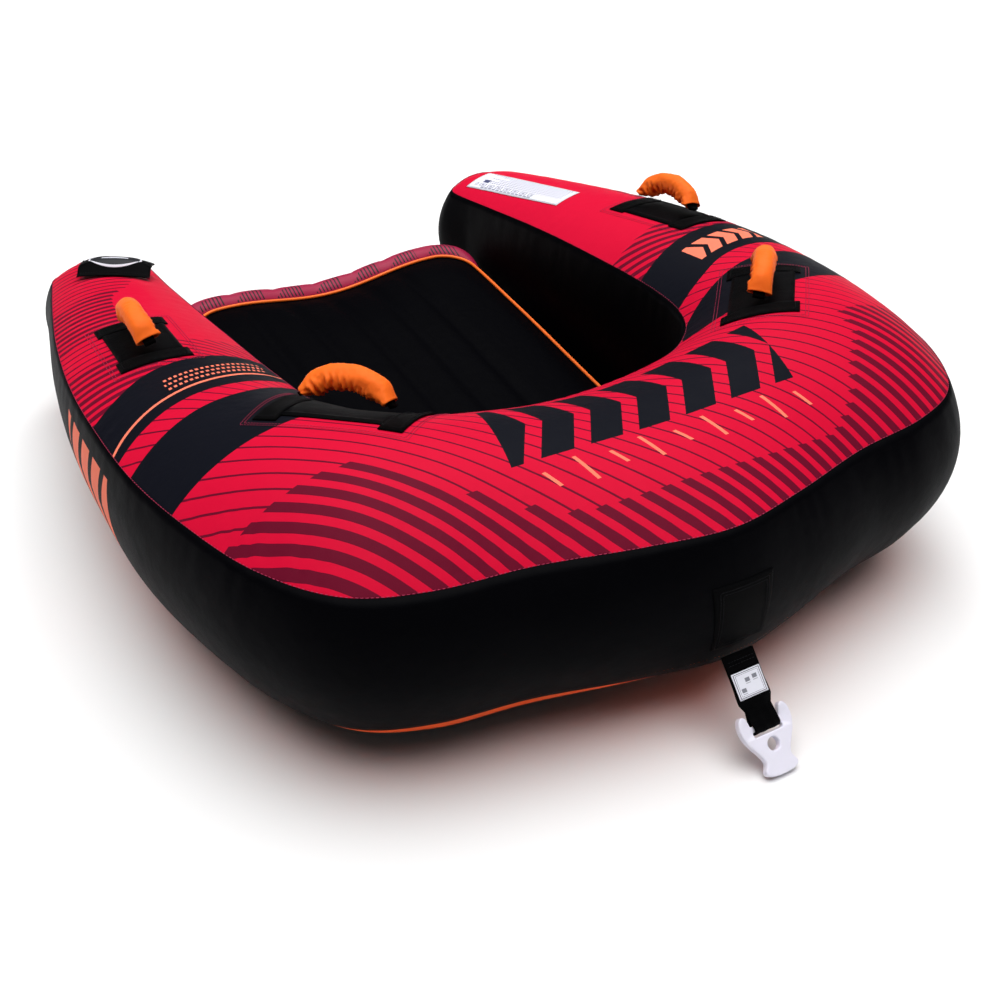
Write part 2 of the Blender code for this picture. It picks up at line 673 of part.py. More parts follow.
def build_tow_strap():
    half = 0.5 * STRAP_THICKNESS
    inside = BAR_RADIUS + BAR_CLEARANCE
    outside = inside + WEB_THICKNESS
    outer_loop = arc((0.0, 0.0), half, 270.0, 90.0, 5)
    outer_loop += [(STRAP_LENGTH - 0.036, half)]
    outer_loop += arc((STRAP_LENGTH, 0.0), outside, 100.0, -100.0, 9)
    outer_loop += [(STRAP_LENGTH - 0.036, -half)]
    eye = arc((STRAP_LENGTH, 0.0), inside, 105.0, -105.0, 9)
    eye += [(STRAP_LENGTH - 0.024, -0.0004), (STRAP_LENGTH - 0.024, 0.0004)]
    strap = prism_mesh([outer_loop, eye], 0.5 * STRAP_WIDTH, lambda p, x: tow_point(x, p[0], p[1]))
    narrow_at_bar(strap)
    add_object("tow_strap", strap, WEBBING, tow_point(0.0, 0.0, 0.0))
    low = half + 0.0005
    high = half + 0.0013
    label_loop = [(LABEL_FROM, low), (LABEL_TO, low), (LABEL_TO, high), (LABEL_FROM, high)]
    label = prism_mesh([label_loop], 0.5 * STRAP_WIDTH - 0.002, lambda p, x: tow_point(x, p[0], p[1]))
    add_object("tow_strap_label", label, PRINT, tow_point(0.0, 0.0, 0.0))


def narrow_at_bar(strap):
    """Gathers the strap's width where it goes round the bar between the connector's ears."""
    root = tow_point(0.0, 0.0, 0.0)
    along = tow_point(0.0, 1.0, 0.0) - root
    for vert in strap.verts:
        reach = smoothstep(STRAP_LENGTH - 0.036, STRAP_LENGTH - 0.010, (vert.co - root).dot(along))
        vert.co.x *= 1.0 - (1.0 - STRAP_WIDTH_AT_BAR / STRAP_WIDTH) * reach


def build_connector():
    bar = tow_point(0.0, STRAP_LENGTH, 0.0)

    def place(p, out):
        return tow_point(p[0], STRAP_LENGTH + p[1], out)

    right = list(CONNECTOR_OUTLINE)
    left = [(-x, q) for x, q in reversed(right)]
    throat = [(-EAR_INSIDE, -BAR_RADIUS), (EAR_INSIDE, -BAR_RADIUS)]
    slot = [(-EAR_INSIDE, BAR_RADIUS), (EAR_INSIDE, BAR_RADIUS),
            (EAR_INSIDE, SLOT_DEPTH), (-EAR_INSIDE, SLOT_DEPTH)]
    hole = arc((0.0, CONNECTOR_HOLE_AT), CONNECTOR_HOLE, 0.0, 345.0, 24)
    body = prism_mesh([right + left + throat, slot, hole], 0.5 * CONNECTOR_THICKNESS, place)
    flatten_bar(body, bar)
    add_object("quick_connector", body, WHITE_PLASTIC, bar)


def flatten_bar(body, bar):
    """Brings the bar between the ears down to a square section that turns freely in the strap's eye."""
    out = tow_point(0.0, 0.0, 1.0) - tow_point(0.0, 0.0, 0.0)
    along = tow_point(0.0, 1.0, 0.0) - tow_point(0.0, 0.0, 0.0)
    for vert in body.verts:
        offset = vert.co - bar
        near_bar = abs(offset.dot(along)) < BAR_RADIUS + 0.0001
        if near_bar and abs(vert.co.x) < EAR_INSIDE + 0.0001:
            ahead = along * math.copysign(BAR_HALF, offset.dot(along))
            aside = out * math.copysign(BAR_HALF, offset.dot(out))
            vert.co = Vector((vert.co.x, *(bar + ahead + aside).yz))


def build_tow_patch(surface):
    """The reinforcement on the nose that the tow strap is sewn to."""

    def place(u, v, side):
        x = (u - 0.5) * (0.120 - 0.020 * v)
        z = 0.300 - 0.125 * v
        hit, _, _, _ = surface.ray_cast(Vector((x, -2.0, z)), Vector((0.0, 1.0, 0.0)))
        return hit + Vector((0.0, -1.0, 0.0)) * (0.003 + 0.004 * side)

    add_object("tow_patch", sheet_mesh(6, 4, place), WEBBING)


# ---------------------------------------------------------------- valves
def turned_mesh(profile, frame, sides=20):
    """Turns a closed profile of (radius, height) points about the frame's own Z axis."""
    points = []
    for radius, height in profile:
        if radius == 0.0:
            points.append([frame @ Vector((0.0, 0.0, height))])
        else:
            turns = [2.0 * math.pi * s / sides for s in range(sides)]
            ring = [Vector((radius * math.cos(t), radius * math.sin(t), height)) for t in turns]
            points.append([frame @ p for p in ring])
    made = bmesh.new()
    rings = [[made.verts.new(p) for p in ring] for ring in points]
    pairs = list(zip(rings, rings[1:] + rings[:1]))
    for low, high in pairs:
        for s in range(sides):
            n = (s + 1) % sides
            corners = [low[s % len(low)], low[n % len(low)], high[n % len(high)], high[s % len(high)]]
            unique = list(dict.fromkeys(corners))
            if len(unique) >= 3:
                made.faces.new(unique)
    bmesh.ops.recalc_face_normals(made, faces=made.faces)
    return made


def frame_at(centre, normal):
    side = normal.cross(Vector((1.0, 0.0, 0.0))).normalized()
    ahead = side.cross(normal).normalized()
    return Matrix.Translation(centre) @ Matrix((ahead, side, normal)).transposed().to_4x4()


def build_valve(prefix, centre, normal, with_membrane):
    """A screw valve: a welded flange, a screw-in insert with a one-way membrane, and a screw-on cap."""
    frame = frame_at(centre, normal)
    collar = VALVE_BODY_RADIUS + 0.0006
    flange = [(collar, 0.0025), (VALVE_FLANGE_RADIUS, 0.0025), (VALVE_FLANGE_RADIUS, 0.0045),
              (collar + 0.0024, 0.0055), (collar, 0.0055)]
    add_object(f"{prefix}_flange", turned_mesh(flange, frame), VINYL)
    insert = [(VALVE_BORE_RADIUS, 0.0030), (VALVE_BODY_RADIUS, 0.0030), (VALVE_BODY_RADIUS, 0.0100),
              (VALVE_BORE_RADIUS, 0.0100)]
    add_object(f"{prefix}_insert", turned_mesh(insert, frame), BLACK_PLASTIC)
    if with_membrane:
        radius = VALVE_BORE_RADIUS - 0.001
        disc = [(0.0, 0.0040), (radius, 0.0040), (radius, 0.0052), (0.0, 0.0052)]
        add_object(f"{prefix}_membrane", turned_mesh(disc, frame), VINYL)
    cap = [(0.0, 0.0106), (VALVE_CAP_RADIUS, 0.0106), (VALVE_CAP_RADIUS, 0.0150),
           (VALVE_CAP_RADIUS - 0.0015, 0.0165), (0.0, 0.0165)]
    pivot = frame @ Vector((0.0, 0.0, 0.0106))
    add_object(f"{prefix}_cap", turned_mesh(cap, frame), BLACK_PLASTIC, pivot)


def flap_place(spot, width, length, lift, thickness):
    """The flap is sewn down along its front edge and arches over the valve behind it."""

    def place(u, v, side):
        across = (u - 0.5) * width
        along = (v - 0.5) * length
        arch = FLAP_RISE * smoothstep(-0.5 * FLAP_SIZE[1], -0.1 * FLAP_SIZE[1], along)
        arch *= 1.0 - FLAP_SAG * smoothstep(0.1 * FLAP_SIZE[1], 0.5 * FLAP_SIZE[1], along)
        droop = 0.25 * abs(across / (0.5 * FLAP_SIZE[0])) ** 3
        level = TRIM_LIFT + 0.001 + arch * (1.0 - droop)
        return spot.above(across, along, level + lift + thickness * side)

    return place


def build_flap(surface):
    x, y = VALVE_SPOT
    spot = Spot(surface, x, y, FLAP_TURN)
    pivot = spot.above(0.0, -0.5 * FLAP_SIZE[1], TRIM_LIFT + 0.001)
    place = flap_place(spot, *FLAP_SIZE, 0.0, FLAP_THICKNESS)
    add_object("valve_flap", sheet_mesh(6, 8, place), FOAM, pivot)
    badge = flap_place(spot, *BADGE_SIZE, FLAP_THICKNESS + BADGE_CLEARANCE, 0.0008)
    add_object("valve_flap_badge", sheet_mesh(4, 8, oval(badge)), PRINT, pivot)
    return spot


def oval(place):
    """Rounds a rectangular sheet's outline into an oval."""

    def rounded(u, v, side):
        across = 2.0 * u - 1.0
        half = math.sqrt(max(0.12, 1.0 - across**2))
        return place(u, 0.5 + 0.5 * (2.0 * v - 1.0) * half, side)

    return rounded


# ---------------------------------------------------------------- label and zip
def build_label(surface):
    x, y, turn = LABEL_SPOT
    spot = Spot(surface, x, y, turn)
    label = cover_patch(spot, (0.0, 0.0), (LABEL_SIZE[1], LABEL_SIZE[0]), TRIM_LIFT, 0.0008, 8, 6)
    add_object("care_label", label, PRINT)


def box_mesh(low, high):
    made = bmesh.new()
    bmesh.ops.create_cube(made, size=1.0)
    middle = (Vector(low) + Vector(high)) * 0.5
    size = Vector(high) - Vector(low)
    for vert in made.verts:
        vert.co = middle + Vector((vert.co.x * size.x, vert.co.y * size.y, vert.co.z * size.z))
    return made


def build_zip():
    """The zip that lets the bladders out, straight across the seat's flat underside."""
    y = ZIP_Y + SHIFT_Y
    below = SEAT_BASE - 0.0006
    half = 0.5 * ZIP_LENGTH
    add_object("zip_tape", box_mesh((-half, y - 0.015, below - 0.0016), (half, y + 0.015, below)), BLACK)
    start = -half + 0.020
    slider = box_mesh((start - 0.009, y - 0.006, below - 0.0066), (start + 0.009, y + 0.006, below - 0.0022))
    add_object("zip_slider", slider, BLACK_PLASTIC, (start, y, below - 0.0044))
    pull = box_mesh((start + 0.004, y - 0.004, below - 0.0092), (start + 0.046, y + 0.004, below - 0.0070))
    add_object("zip_pull", pull, ORANGE, (start + 0.004, y, below - 0.0081))


def main():
    clear_scene()
    ring = build_ring()
    seat = build_seat()
    build_joining_web()
    for name, spot in HANDLE_SPOTS.items():
        build_handle(name, ring, *spot)
    build_tow_patch(ring)
    build_tow_strap()
    build_connector()
    build_flap(ring)
    valve = Spot(ring, *VALVE_SPOT, 0.0)
    build_valve("valve", valve.centre, valve.normal, True)
    x, z = SEAT_VALVE_SPOT
    hit, normal, _, _ = seat.ray_cast(Vector((x, 2.0, z)), Vector((0.0, -1.0, 0.0)))
    build_valve("seat_valve", hit, normal, False)
    build_label(ring)
    build_zip()


main()
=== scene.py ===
"""The looks of a towable tube for two riders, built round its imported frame.

Metres, +Z up. The nose points along -Y, and the riders climb in from +Y. Every piece rides on a body
of the frame. The inflated shapes repeat the frame's own outline at a finer step, and the prints on the
covers are worked out by the materials from where a point lies on the tube.
"""
import json
import math

import bmesh
import bpy
import numpy as np
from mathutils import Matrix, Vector, noise
from mathutils.bvhtree import BVHTree


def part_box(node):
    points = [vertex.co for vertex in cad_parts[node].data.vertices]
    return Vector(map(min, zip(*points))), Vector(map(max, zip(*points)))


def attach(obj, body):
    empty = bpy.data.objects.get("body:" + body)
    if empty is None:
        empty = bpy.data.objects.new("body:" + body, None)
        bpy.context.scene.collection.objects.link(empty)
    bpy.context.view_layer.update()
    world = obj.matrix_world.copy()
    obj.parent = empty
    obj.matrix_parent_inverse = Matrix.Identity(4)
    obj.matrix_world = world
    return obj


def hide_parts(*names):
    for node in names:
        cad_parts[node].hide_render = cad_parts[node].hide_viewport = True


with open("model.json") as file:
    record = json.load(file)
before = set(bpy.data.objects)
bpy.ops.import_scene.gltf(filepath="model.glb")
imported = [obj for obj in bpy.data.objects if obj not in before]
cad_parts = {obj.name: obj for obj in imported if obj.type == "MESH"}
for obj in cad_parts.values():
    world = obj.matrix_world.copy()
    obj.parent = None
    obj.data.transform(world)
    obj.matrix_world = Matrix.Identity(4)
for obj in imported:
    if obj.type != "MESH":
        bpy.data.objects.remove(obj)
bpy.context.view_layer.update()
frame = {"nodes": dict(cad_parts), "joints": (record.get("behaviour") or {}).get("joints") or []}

# ---------------------------------------------------------------- driving dimensions, as in the frame
SHIFT_Y = 0.1298  # moves the ring so that the box of the whole object is centred on the origin

# Right half of the ring's top panel, seen from above: the nose first, the arm's end last.
OUTER_SEAM = [
    (0.000, -0.873), (0.150, -0.846), (0.320, -0.801), (0.480, -0.777), (0.600, -0.722),
    (0.680, -0.600), (0.725, -0.440), (0.752, -0.260), (0.752, -0.050), (0.735, 0.130),
    (0.700, 0.320), (0.655, 0.500), (0.610, 0.660), (0.592, 0.708), (0.555, 0.738),
]
INNER_SEAM = [
    (0.000, -0.400), (0.100, -0.395), (0.190, -0.380), (0.265, -0.354), (0.315, -0.318),
    (0.352, -0.275), (0.378, -0.215), (0.394, -0.130), (0.402, 0.000), (0.405, 0.160),
    (0.406, 0.340), (0.402, 0.520), (0.395, 0.680), (0.402, 0.728), (0.430, 0.752),
]
CROWN = [  # height of the top panel's crown above its seams, at the same places
    0.083, 0.088, 0.099, 0.109, 0.111, 0.102, 0.087, 0.070, 0.057, 0.049, 0.042, 0.036, 0.030, 0.025, 0.018,
]
LAST_KEY = len(OUTER_SEAM) - 1
STEPS_PER_KEY = 20
ACROSS = 40
WALL_ROWS = 18

SEAM_HEIGHT = 0.380
SEAM_DROP = 0.080
SEAM_DROP_START = -0.100
SEAM_DROP_RUN = 0.840
LOW_SEAM_ARM = 0.080
LOW_SEAM_RISE = 0.055
NOSE_KEYS = 3.0
NOSE_LIFT = 0.045
END_LIFT = 0.035
END_KEYS = 3.0
TUCK_NOSE = -0.015
TUCK_ARM = 0.050
TUCK_INNER = 0.010
LOW_INNER = 0.035
INNER_SAG = 0.012
BULGE_FRONT = 0.048
BULGE_NOSE = 0.030
BULGE_ARM = 0.036
BULGE_INNER = 0.016
BULGE_END = 0.040
CROWN_POWER = 2.2
BELLY_POWER = 2.4
COVER_THICKNESS = 0.0014

SEAT_HALF = 0.345
SEAT_FRONT = -0.335
SEAT_REAR = 0.600
SEAT_FRONT_RADIUS = 0.200
SEAT_REAR_RADIUS = 0.070
SEAT_BASE = 0.040
SEAT_LOW = 0.085
SEAT_HIGH = 0.180
SEAT_CROWN = 0.022
SEAT_SIDE_BULGE = 0.022
SEAT_REAR_BULGE = 0.070
SEAT_REAR_RISE = 0.056
SEAT_WAVE = 0.014
SEAT_COLUMNS = 96
SEAT_ROWS = 72
CHANNELS = (-0.225, -0.120, -0.020, 0.075, 0.165)  # x of the seams that hold the seat's deck down
CHANNEL_DEPTH = 0.0010
CHANNEL_WIDTH = 0.014
PILLOW = 0.0050  # the deck's rise between its channels
PIPING_RADIUS = 0.0038

HANDLES = ("front_left", "front_right", "rear_left", "rear_right")
STRIP_LENGTH = {"front_left": 0.158, "front_right": 0.138, "rear_left": 0.132, "rear_right": 0.130}
STRIP_WIDTH = 0.042
PAD_WIDTH = 0.118
GRIP_REACH = 0.082
GRIP_RISE = 0.039
GRIP_POWER = 2.3
SLEEVE_SHARE = 0.92
SLEEVE_RADIUS = 0.0218
SLEEVE_CLOTH = 0.0024

TOW_ANGLE = math.radians(47.5)
STRAP_WIDTH = 0.062
STRAP_WIDTH_AT_BAR = 0.0515
STRAP_LENGTH = 0.124
WEB_THICKNESS = 0.0025
BAR_RADIUS = 0.0060
LABEL_FROM = 0.031
LABEL_TO = 0.075
CONNECTOR_THICKNESS = 0.0140
CONNECTOR_HOLE = 0.0112
CONNECTOR_HOLE_AT = 0.032
EAR_INSIDE = 0.0285
CONNECTOR_OUTLINE = [
    (0.0330, -0.021), (0.0380, -0.026), (0.0450, -0.024), (0.0500, -0.015), (0.0515, -0.003),
    (0.0485, 0.012), (0.0410, 0.027), (0.0310, 0.042), (0.0250, 0.054), (0.0265, 0.061),
    (0.0330, 0.069), (0.0310, 0.077), (0.0180, 0.082),
]
SLOT_DEPTH = 0.0130

FLAP_WIDTH = 0.150
FLAP_DEPTH = 0.076
FLAP_RISE = 0.0245
FLAP_SAG = 0.35  # share of its rise that the flap loses behind the valve
FLAP_THICKNESS = 0.0030
FLAP_OVAL = (0.110, 0.050)
LABEL_SIZE = (0.072, 0.325)
LABEL_TURN = math.radians(9.0)
SEAM_STITCH = (0.0075, 0.0050, 0.0014)  # pitch, length and width
LOW_SEAM_STITCH = (0.0075, 0.0055, 0.0016)
LABEL_THREAD = (0.033, 0.159)  # half the sizes of the box of thread on the care label
TOW_PATCH_WIDTH = 0.120  # along its top edge
TOW_PATCH_TAPER = 0.020  # how much narrower its bottom edge is

CAMERA_PLACE = (-1.292, -2.1892, 1.687)
CAMERA_HEADING = math.radians(30.99)
CAMERA_PITCH = math.radians(33.42)
CAMERA_LENS = 54.0
SOFTBOX_EDGE = (0.74, 0.93)  # heights in the sky, from 0 at the horizon to 1 overhead, between dark and light
SOFTBOX_LIGHT = 4.4
HORIZON_LIGHT = 0.05
KEY_PLACE = (1.6, 2.2, 3.6)
KEY_TARGET = (0.0, 0.1, 0.2)
KEY_SIZE = 1.6
KEY_POWER = 34.0
FLOOR_REACH = 30.0
FLOOR_COLOUR = (0.82, 0.82, 0.82, 1.0)

RED = (0.59, 0.0030, 0.031)
MAROON = (0.125, 0.0030, 0.018)
BLACK = (0.0006, 0.0006, 0.0012)
INK = (0.0036, 0.0042, 0.0080)
SALMON = (0.88, 0.200, 0.120)
ORANGE = (0.92, 0.155, 0.014)
UNDERSIDE = (0.80, 0.090, 0.012)
CRIMSON = (0.30, 0.006, 0.045)
WHITE = (0.78, 0.78, 0.86)
THREAD = (0.42, 0.035, 0.090)
STROKE = (0.012, 0.001, 0.006)


def smoothstep(low, high, value):
    share = min(1.0, max(0.0, (value - low) / (high - low)))
    return share * share * (3.0 - 2.0 * share)


def joint_named(name):
    return next(j for j in frame["joints"] if j["name"] == name)


# ---------------------------------------------------------------- camera, light and floor
def look_along(heading, pitch):
    return Vector((
        math.sin(heading) * math.cos(pitch),
        math.cos(heading) * math.cos(pitch),
        -math.sin(pitch),
    ))


def make_camera():
    data = bpy.data.cameras.new("camera")
    data.lens = CAMERA_LENS
    data.sensor_width = 36.0
    camera = bpy.data.objects.new("camera", data)
    camera.location = CAMERA_PLACE
    camera.rotation_euler = look_along(CAMERA_HEADING, CAMERA_PITCH).to_track_quat("-Z", "Y").to_euler()
    bpy.context.scene.collection.objects.link(camera)
    bpy.context.scene.camera = camera


def area_light(name, place, target, size, power):
    data = bpy.data.lights.new(name, "AREA")
    data.shape = "DISK"
    data.size = size
    data.energy = power
    light = bpy.data.objects.new(name, data)
    light.location = place
    light.rotation_euler = (Vector(target) - Vector(place)).to_track_quat("-Z", "Y").to_euler()
    bpy.context.scene.collection.objects.link(light)


def make_studio():
    scene = bpy.context.scene
    scene.view_settings.view_transform = "Standard"
    world = bpy.data.worlds.new("studio")
    world.use_nodes = True
    tree = world.node_tree
    background = tree.nodes["Background"]
    background.inputs["Color"].default_value = (1.0, 1.0, 1.0, 1.0)
    split = tree.nodes.new("ShaderNodeSeparateXYZ")
    direction = tree.nodes.new("ShaderNodeTexCoord")
    tree.links.new(direction.outputs["Generated"], split.inputs[0])
    spread = tree.nodes.new("ShaderNodeMapRange")
    spread.interpolation_type = "SMOOTHSTEP"
    spread.inputs["From Min"].default_value = SOFTBOX_EDGE[0]
    spread.inputs["From Max"].default_value = SOFTBOX_EDGE[1]
    spread.inputs["To Min"].default_value = HORIZON_LIGHT
    spread.inputs["To Max"].default_value = SOFTBOX_LIGHT
    tree.links.new(split.outputs[2], spread.inputs["Value"])
    tree.links.new(spread.outputs["Result"], background.inputs["Strength"])
    scene.world = world
    area_light("key", KEY_PLACE, KEY_TARGET, KEY_SIZE, KEY_POWER)
    mesh = bpy.data.meshes.new("floor")
    corners = [(x * FLOOR_REACH, y * FLOOR_REACH, 0.0) for x, y in ((-1, -1), (1, -1), (1, 1), (-1, 1))]
    mesh.from_pydata(corners, [], [(0, 1, 2, 3)])
    floor = bpy.data.objects.new("floor", mesh)
    scene.collection.objects.link(floor)
    paper = bpy.data.materials.new("paper")
    paper.use_nodes = True
    shader = paper.node_tree.nodes["Principled BSDF"]
    shader.inputs["Base Color"].default_value = FLOOR_COLOUR
    shader.inputs["Roughness"].default_value = 0.9
    shader.inputs["Specular IOR Level"].default_value = 0.1
    mesh.materials.append(paper)


# ---------------------------------------------------------------- sums made of a material's nodes
class Field:
    """A number that a material works out at each point, from nodes."""

    def __init__(self, tree, source):
        self.tree = tree
        self.source = source

    def math(self, operation, *others):
        node = self.tree.nodes.new("ShaderNodeMath")
        node.operation = operation
        for socket, item in zip(node.inputs, (self, *others)):
            feed(self.tree, socket, item)
        return Field(self.tree, node.outputs[0])

    def __add__(self, other):
        return self.math("ADD", other)

    def __sub__(self, other):
        return self.math("SUBTRACT", other)

    def __mul__(self, other):
        return self.math("MULTIPLY", other)

    def __truediv__(self, other):
        return self.math("DIVIDE", other)

    def __lt__(self, other):
        return self.math("LESS_THAN", other)

    def __gt__(self, other):
        return self.math("GREATER_THAN", other)

    def __and__(self, other):
        return self.math("MULTIPLY", other)

    def __or__(self, other):
        return self.math("MAXIMUM", other)

    def inverse(self):
        return Field(self.tree, 1.0).math("SUBTRACT", self)

    def floor(self):
        return self.math("FLOOR")

    def fraction(self):
        return self.math("FRACT")

    def size(self):
        return self.math("ABSOLUTE")

    def wave(self, length):
        """A sine that repeats every length."""
        return (self * (2.0 * math.pi / length)).math("SINE")

    def within(self, low, high):
        return (self > low) & (self < high)

    def curve(self, points):
        """Reads a smooth curve through (from, to) points, level past its ends."""
        first, last = points[0][0], points[-1][0]
        low = min(p[1] for p in points)
        high = max(p[1] for p in points)
        node = self.tree.nodes.new("ShaderNodeFloatCurve")
        spots = node.mapping.curves[0].points
        while len(spots) < len(points):
            spots.new(0.5, 0.5)
        for spot, (x, y) in zip(spots, points):
            spot.location = ((x - first) / (last - first), (y - low) / (high - low))
        node.mapping.update()
        feed(self.tree, node.inputs["Value"], (self - first) / (last - first))
        return Field(self.tree, node.outputs[0]) * (high - low) + low


def feed(tree, socket, item):
    if isinstance(item, Field):
        item = item.source
    if isinstance(item, bpy.types.NodeSocket):
        tree.links.new(item, socket)
    elif isinstance(item, tuple):
        socket.default_value = (*item, 1.0)
    else:
        socket.default_value = item


def mixed(tree, share, first, second):
    """The first colour where share is 0 and the second where it is 1."""
    node = tree.nodes.new("ShaderNodeMix")
    node.data_type = "RGBA"
    feed(tree, node.inputs[0], share)
    feed(tree, node.inputs[6], first)
    feed(tree, node.inputs[7], second)
    return node.outputs[2]


def coordinate_fields(tree, kind):
    node = tree.nodes.new("ShaderNodeSeparateXYZ")
    coordinates = tree.nodes.new("ShaderNodeTexCoord")
    tree.links.new(coordinates.outputs[kind], node.inputs[0])
    return [Field(tree, out) for out in node.outputs]


def place_fields(tree):
    """x, y and z of the point, in the frame's metres."""
    return coordinate_fields(tree, "Object")


def sheet_fields(tree):
    """Across and along the piece, from 0 to 1."""
    return coordinate_fields(tree, "UV")[:2]


def cloud(tree, scale, detail=3.0):
    """Soft random patches from 0 to 1, scale of them to a metre."""
    node = tree.nodes.new("ShaderNodeTexNoise")
    coordinates = tree.nodes.new("ShaderNodeTexCoord")
    tree.links.new(coordinates.outputs["Object"], node.inputs["Vector"])
    node.inputs["Scale"].default_value = scale
    node.inputs["Detail"].default_value = detail
    return Field(tree, node.outputs["Fac"])


def weave(tree, pitch):
    """The height of a plain weave with this thread pitch, whichever way the surface faces."""
    x, y, z = place_fields(tree)
    pairs = [a.wave(pitch) * b.wave(pitch) for a, b in ((x, y), (y, z), (z, x))]
    return (pairs[0] + pairs[1] + pairs[2]) / 3.0


class Finish:
    """A material in the making: its colour, roughness and relief are set, then wired to the shader."""

    def __init__(self, name, roughness, gloss=0.25):
        self.material = bpy.data.materials.new(name)
        self.material.use_nodes = True
        self.tree = self.material.node_tree
        self.shader = self.tree.nodes["Principled BSDF"]
        self.shader.inputs["Specular IOR Level"].default_value = gloss
        self.roughness = Field(self.tree, roughness)

    def colour(self, colour, variation=0.10, patch=9.0):
        """Wires the colour in, a little lighter and darker in soft patches."""
        tree = self.tree
        shade = tree.nodes.new("ShaderNodeHueSaturation")
        feed(tree, shade.inputs["Color"], colour)
        feed(tree, shade.inputs["Value"], cloud(tree, patch) * variation + (1.0 - 0.5 * variation))
        tree.links.new(shade.outputs[0], self.shader.inputs["Base Color"])
        return self

    def relief(self, *layers):
        """Adds bumps: (height field, depth in metres) pairs."""
        height = Field(self.tree, 0.0)
        for field, depth in layers:
            height = height + field * depth
        node = self.tree.nodes.new("ShaderNodeBump")
        node.inputs["Strength"].default_value = 1.0
        node.inputs["Distance"].default_value = 1.0
        feed(self.tree, node.inputs["Height"], height)
        self.tree.links.new(node.outputs[0], self.shader.inputs["Normal"])
        return self

    def sheen(self, weight, tint=(1.0, 1.0, 1.0)):
        self.shader.inputs["Sheen Weight"].default_value = weight
        self.shader.inputs["Sheen Roughness"].default_value = 0.35
        self.shader.inputs["Sheen Tint"].default_value = (*tint, 1.0)
        return self

    def done(self, uneven=0.12):
        feed(self.tree, self.shader.inputs["Roughness"],
             cloud(self.tree, 30.0) * uneven + self.roughness - 0.5 * uneven)
        return self.material


# ---------------------------------------------------------------- prints on the ring's cover
# Edges of the two dark bands on each arm, and the thin line on the left one: (x, y) before the shift.
LEFT_ONE_REAR = [(-0.76, -0.075), (-0.70, -0.049), (-0.60, -0.010), (-0.50, 0.005), (-0.39, 0.017)]
LEFT_ONE_FRONT = [(-0.76, -0.210), (-0.70, -0.185), (-0.60, -0.160), (-0.50, -0.145), (-0.39, -0.085)]
LEFT_LINE = [(-0.76, -0.185), (-0.70, -0.152), (-0.60, -0.125), (-0.50, -0.105), (-0.39, -0.058)]
LEFT_TWO_REAR = [(-0.76, -0.262), (-0.70, -0.240), (-0.60, -0.212), (-0.50, -0.190), (-0.39, -0.110)]
LEFT_TWO_FRONT = [(-0.76, -0.402), (-0.70, -0.392), (-0.60, -0.384), (-0.50, -0.372), (-0.30, -0.330)]
RIGHT_ONE_REAR = [(0.36, -0.078), (0.49, -0.032), (0.59, -0.011), (0.67, 0.000), (0.76, 0.006)]
RIGHT_ONE_FRONT = [(0.36, -0.225), (0.44, -0.197), (0.54, -0.162), (0.64, -0.148), (0.76, -0.140)]
RIGHT_TWO_REAR = [(0.30, -0.335), (0.365, -0.275), (0.46, -0.240), (0.58, -0.215), (0.76, -0.205)]
RIGHT_TWO_FRONT = [
    (0.29, -0.335), (0.35, -0.375), (0.45, -0.388), (0.58, -0.380), (0.68, -0.345), (0.76, -0.320),
]

STRIPE_ANGLE = math.radians(50.0)  # the front's stripes fall this steeply to the right, seen from above
STRIPE_PITCH = 0.028
# Where each of the front's stripes turns from a thin line to a thick bar: its own place, and the y.
THICK_FROM = [
    (-0.95, -0.530), (-0.86, -0.535), (-0.745, -0.550), (-0.725, -0.650), (-0.68, -0.740), (-0.62, -0.776),
    (-0.27, -0.776), (-0.23, -0.762), (-0.08, -0.660), (0.00, -0.600), (0.05, -0.545), (0.20, -0.520),
]
# Where the left arm's stripes end on the inside, against y.
STRIPES_END = [(0.02, -0.60), (0.20, -0.60), (0.30, -0.580), (0.42, -0.555), (0.50, -0.500), (0.60, -0.460)]


def stripe(place, share):
    """1 on the lines that repeat at each whole number of place, each this share of the pitch wide."""
    return (place.fraction() - 0.5).size() < share * 0.5


def chevrons(u, v, count, cover):
    """Bold slanted arrowheads in the strip u 0..1, v -1..1."""
    cell = u * float(count) + v.size() * 0.42
    inside = u.within(0.0, 1.0) & v.within(-1.0, 1.0)
    return inside & (cell.fraction() < cover)


def ticks(u, v, count, width):
    cell = (u * float(count) + v * 0.12).fraction() - 0.5
    return u.within(0.0, 1.0) & v.within(-1.0, 1.0) & (cell.size() < width)


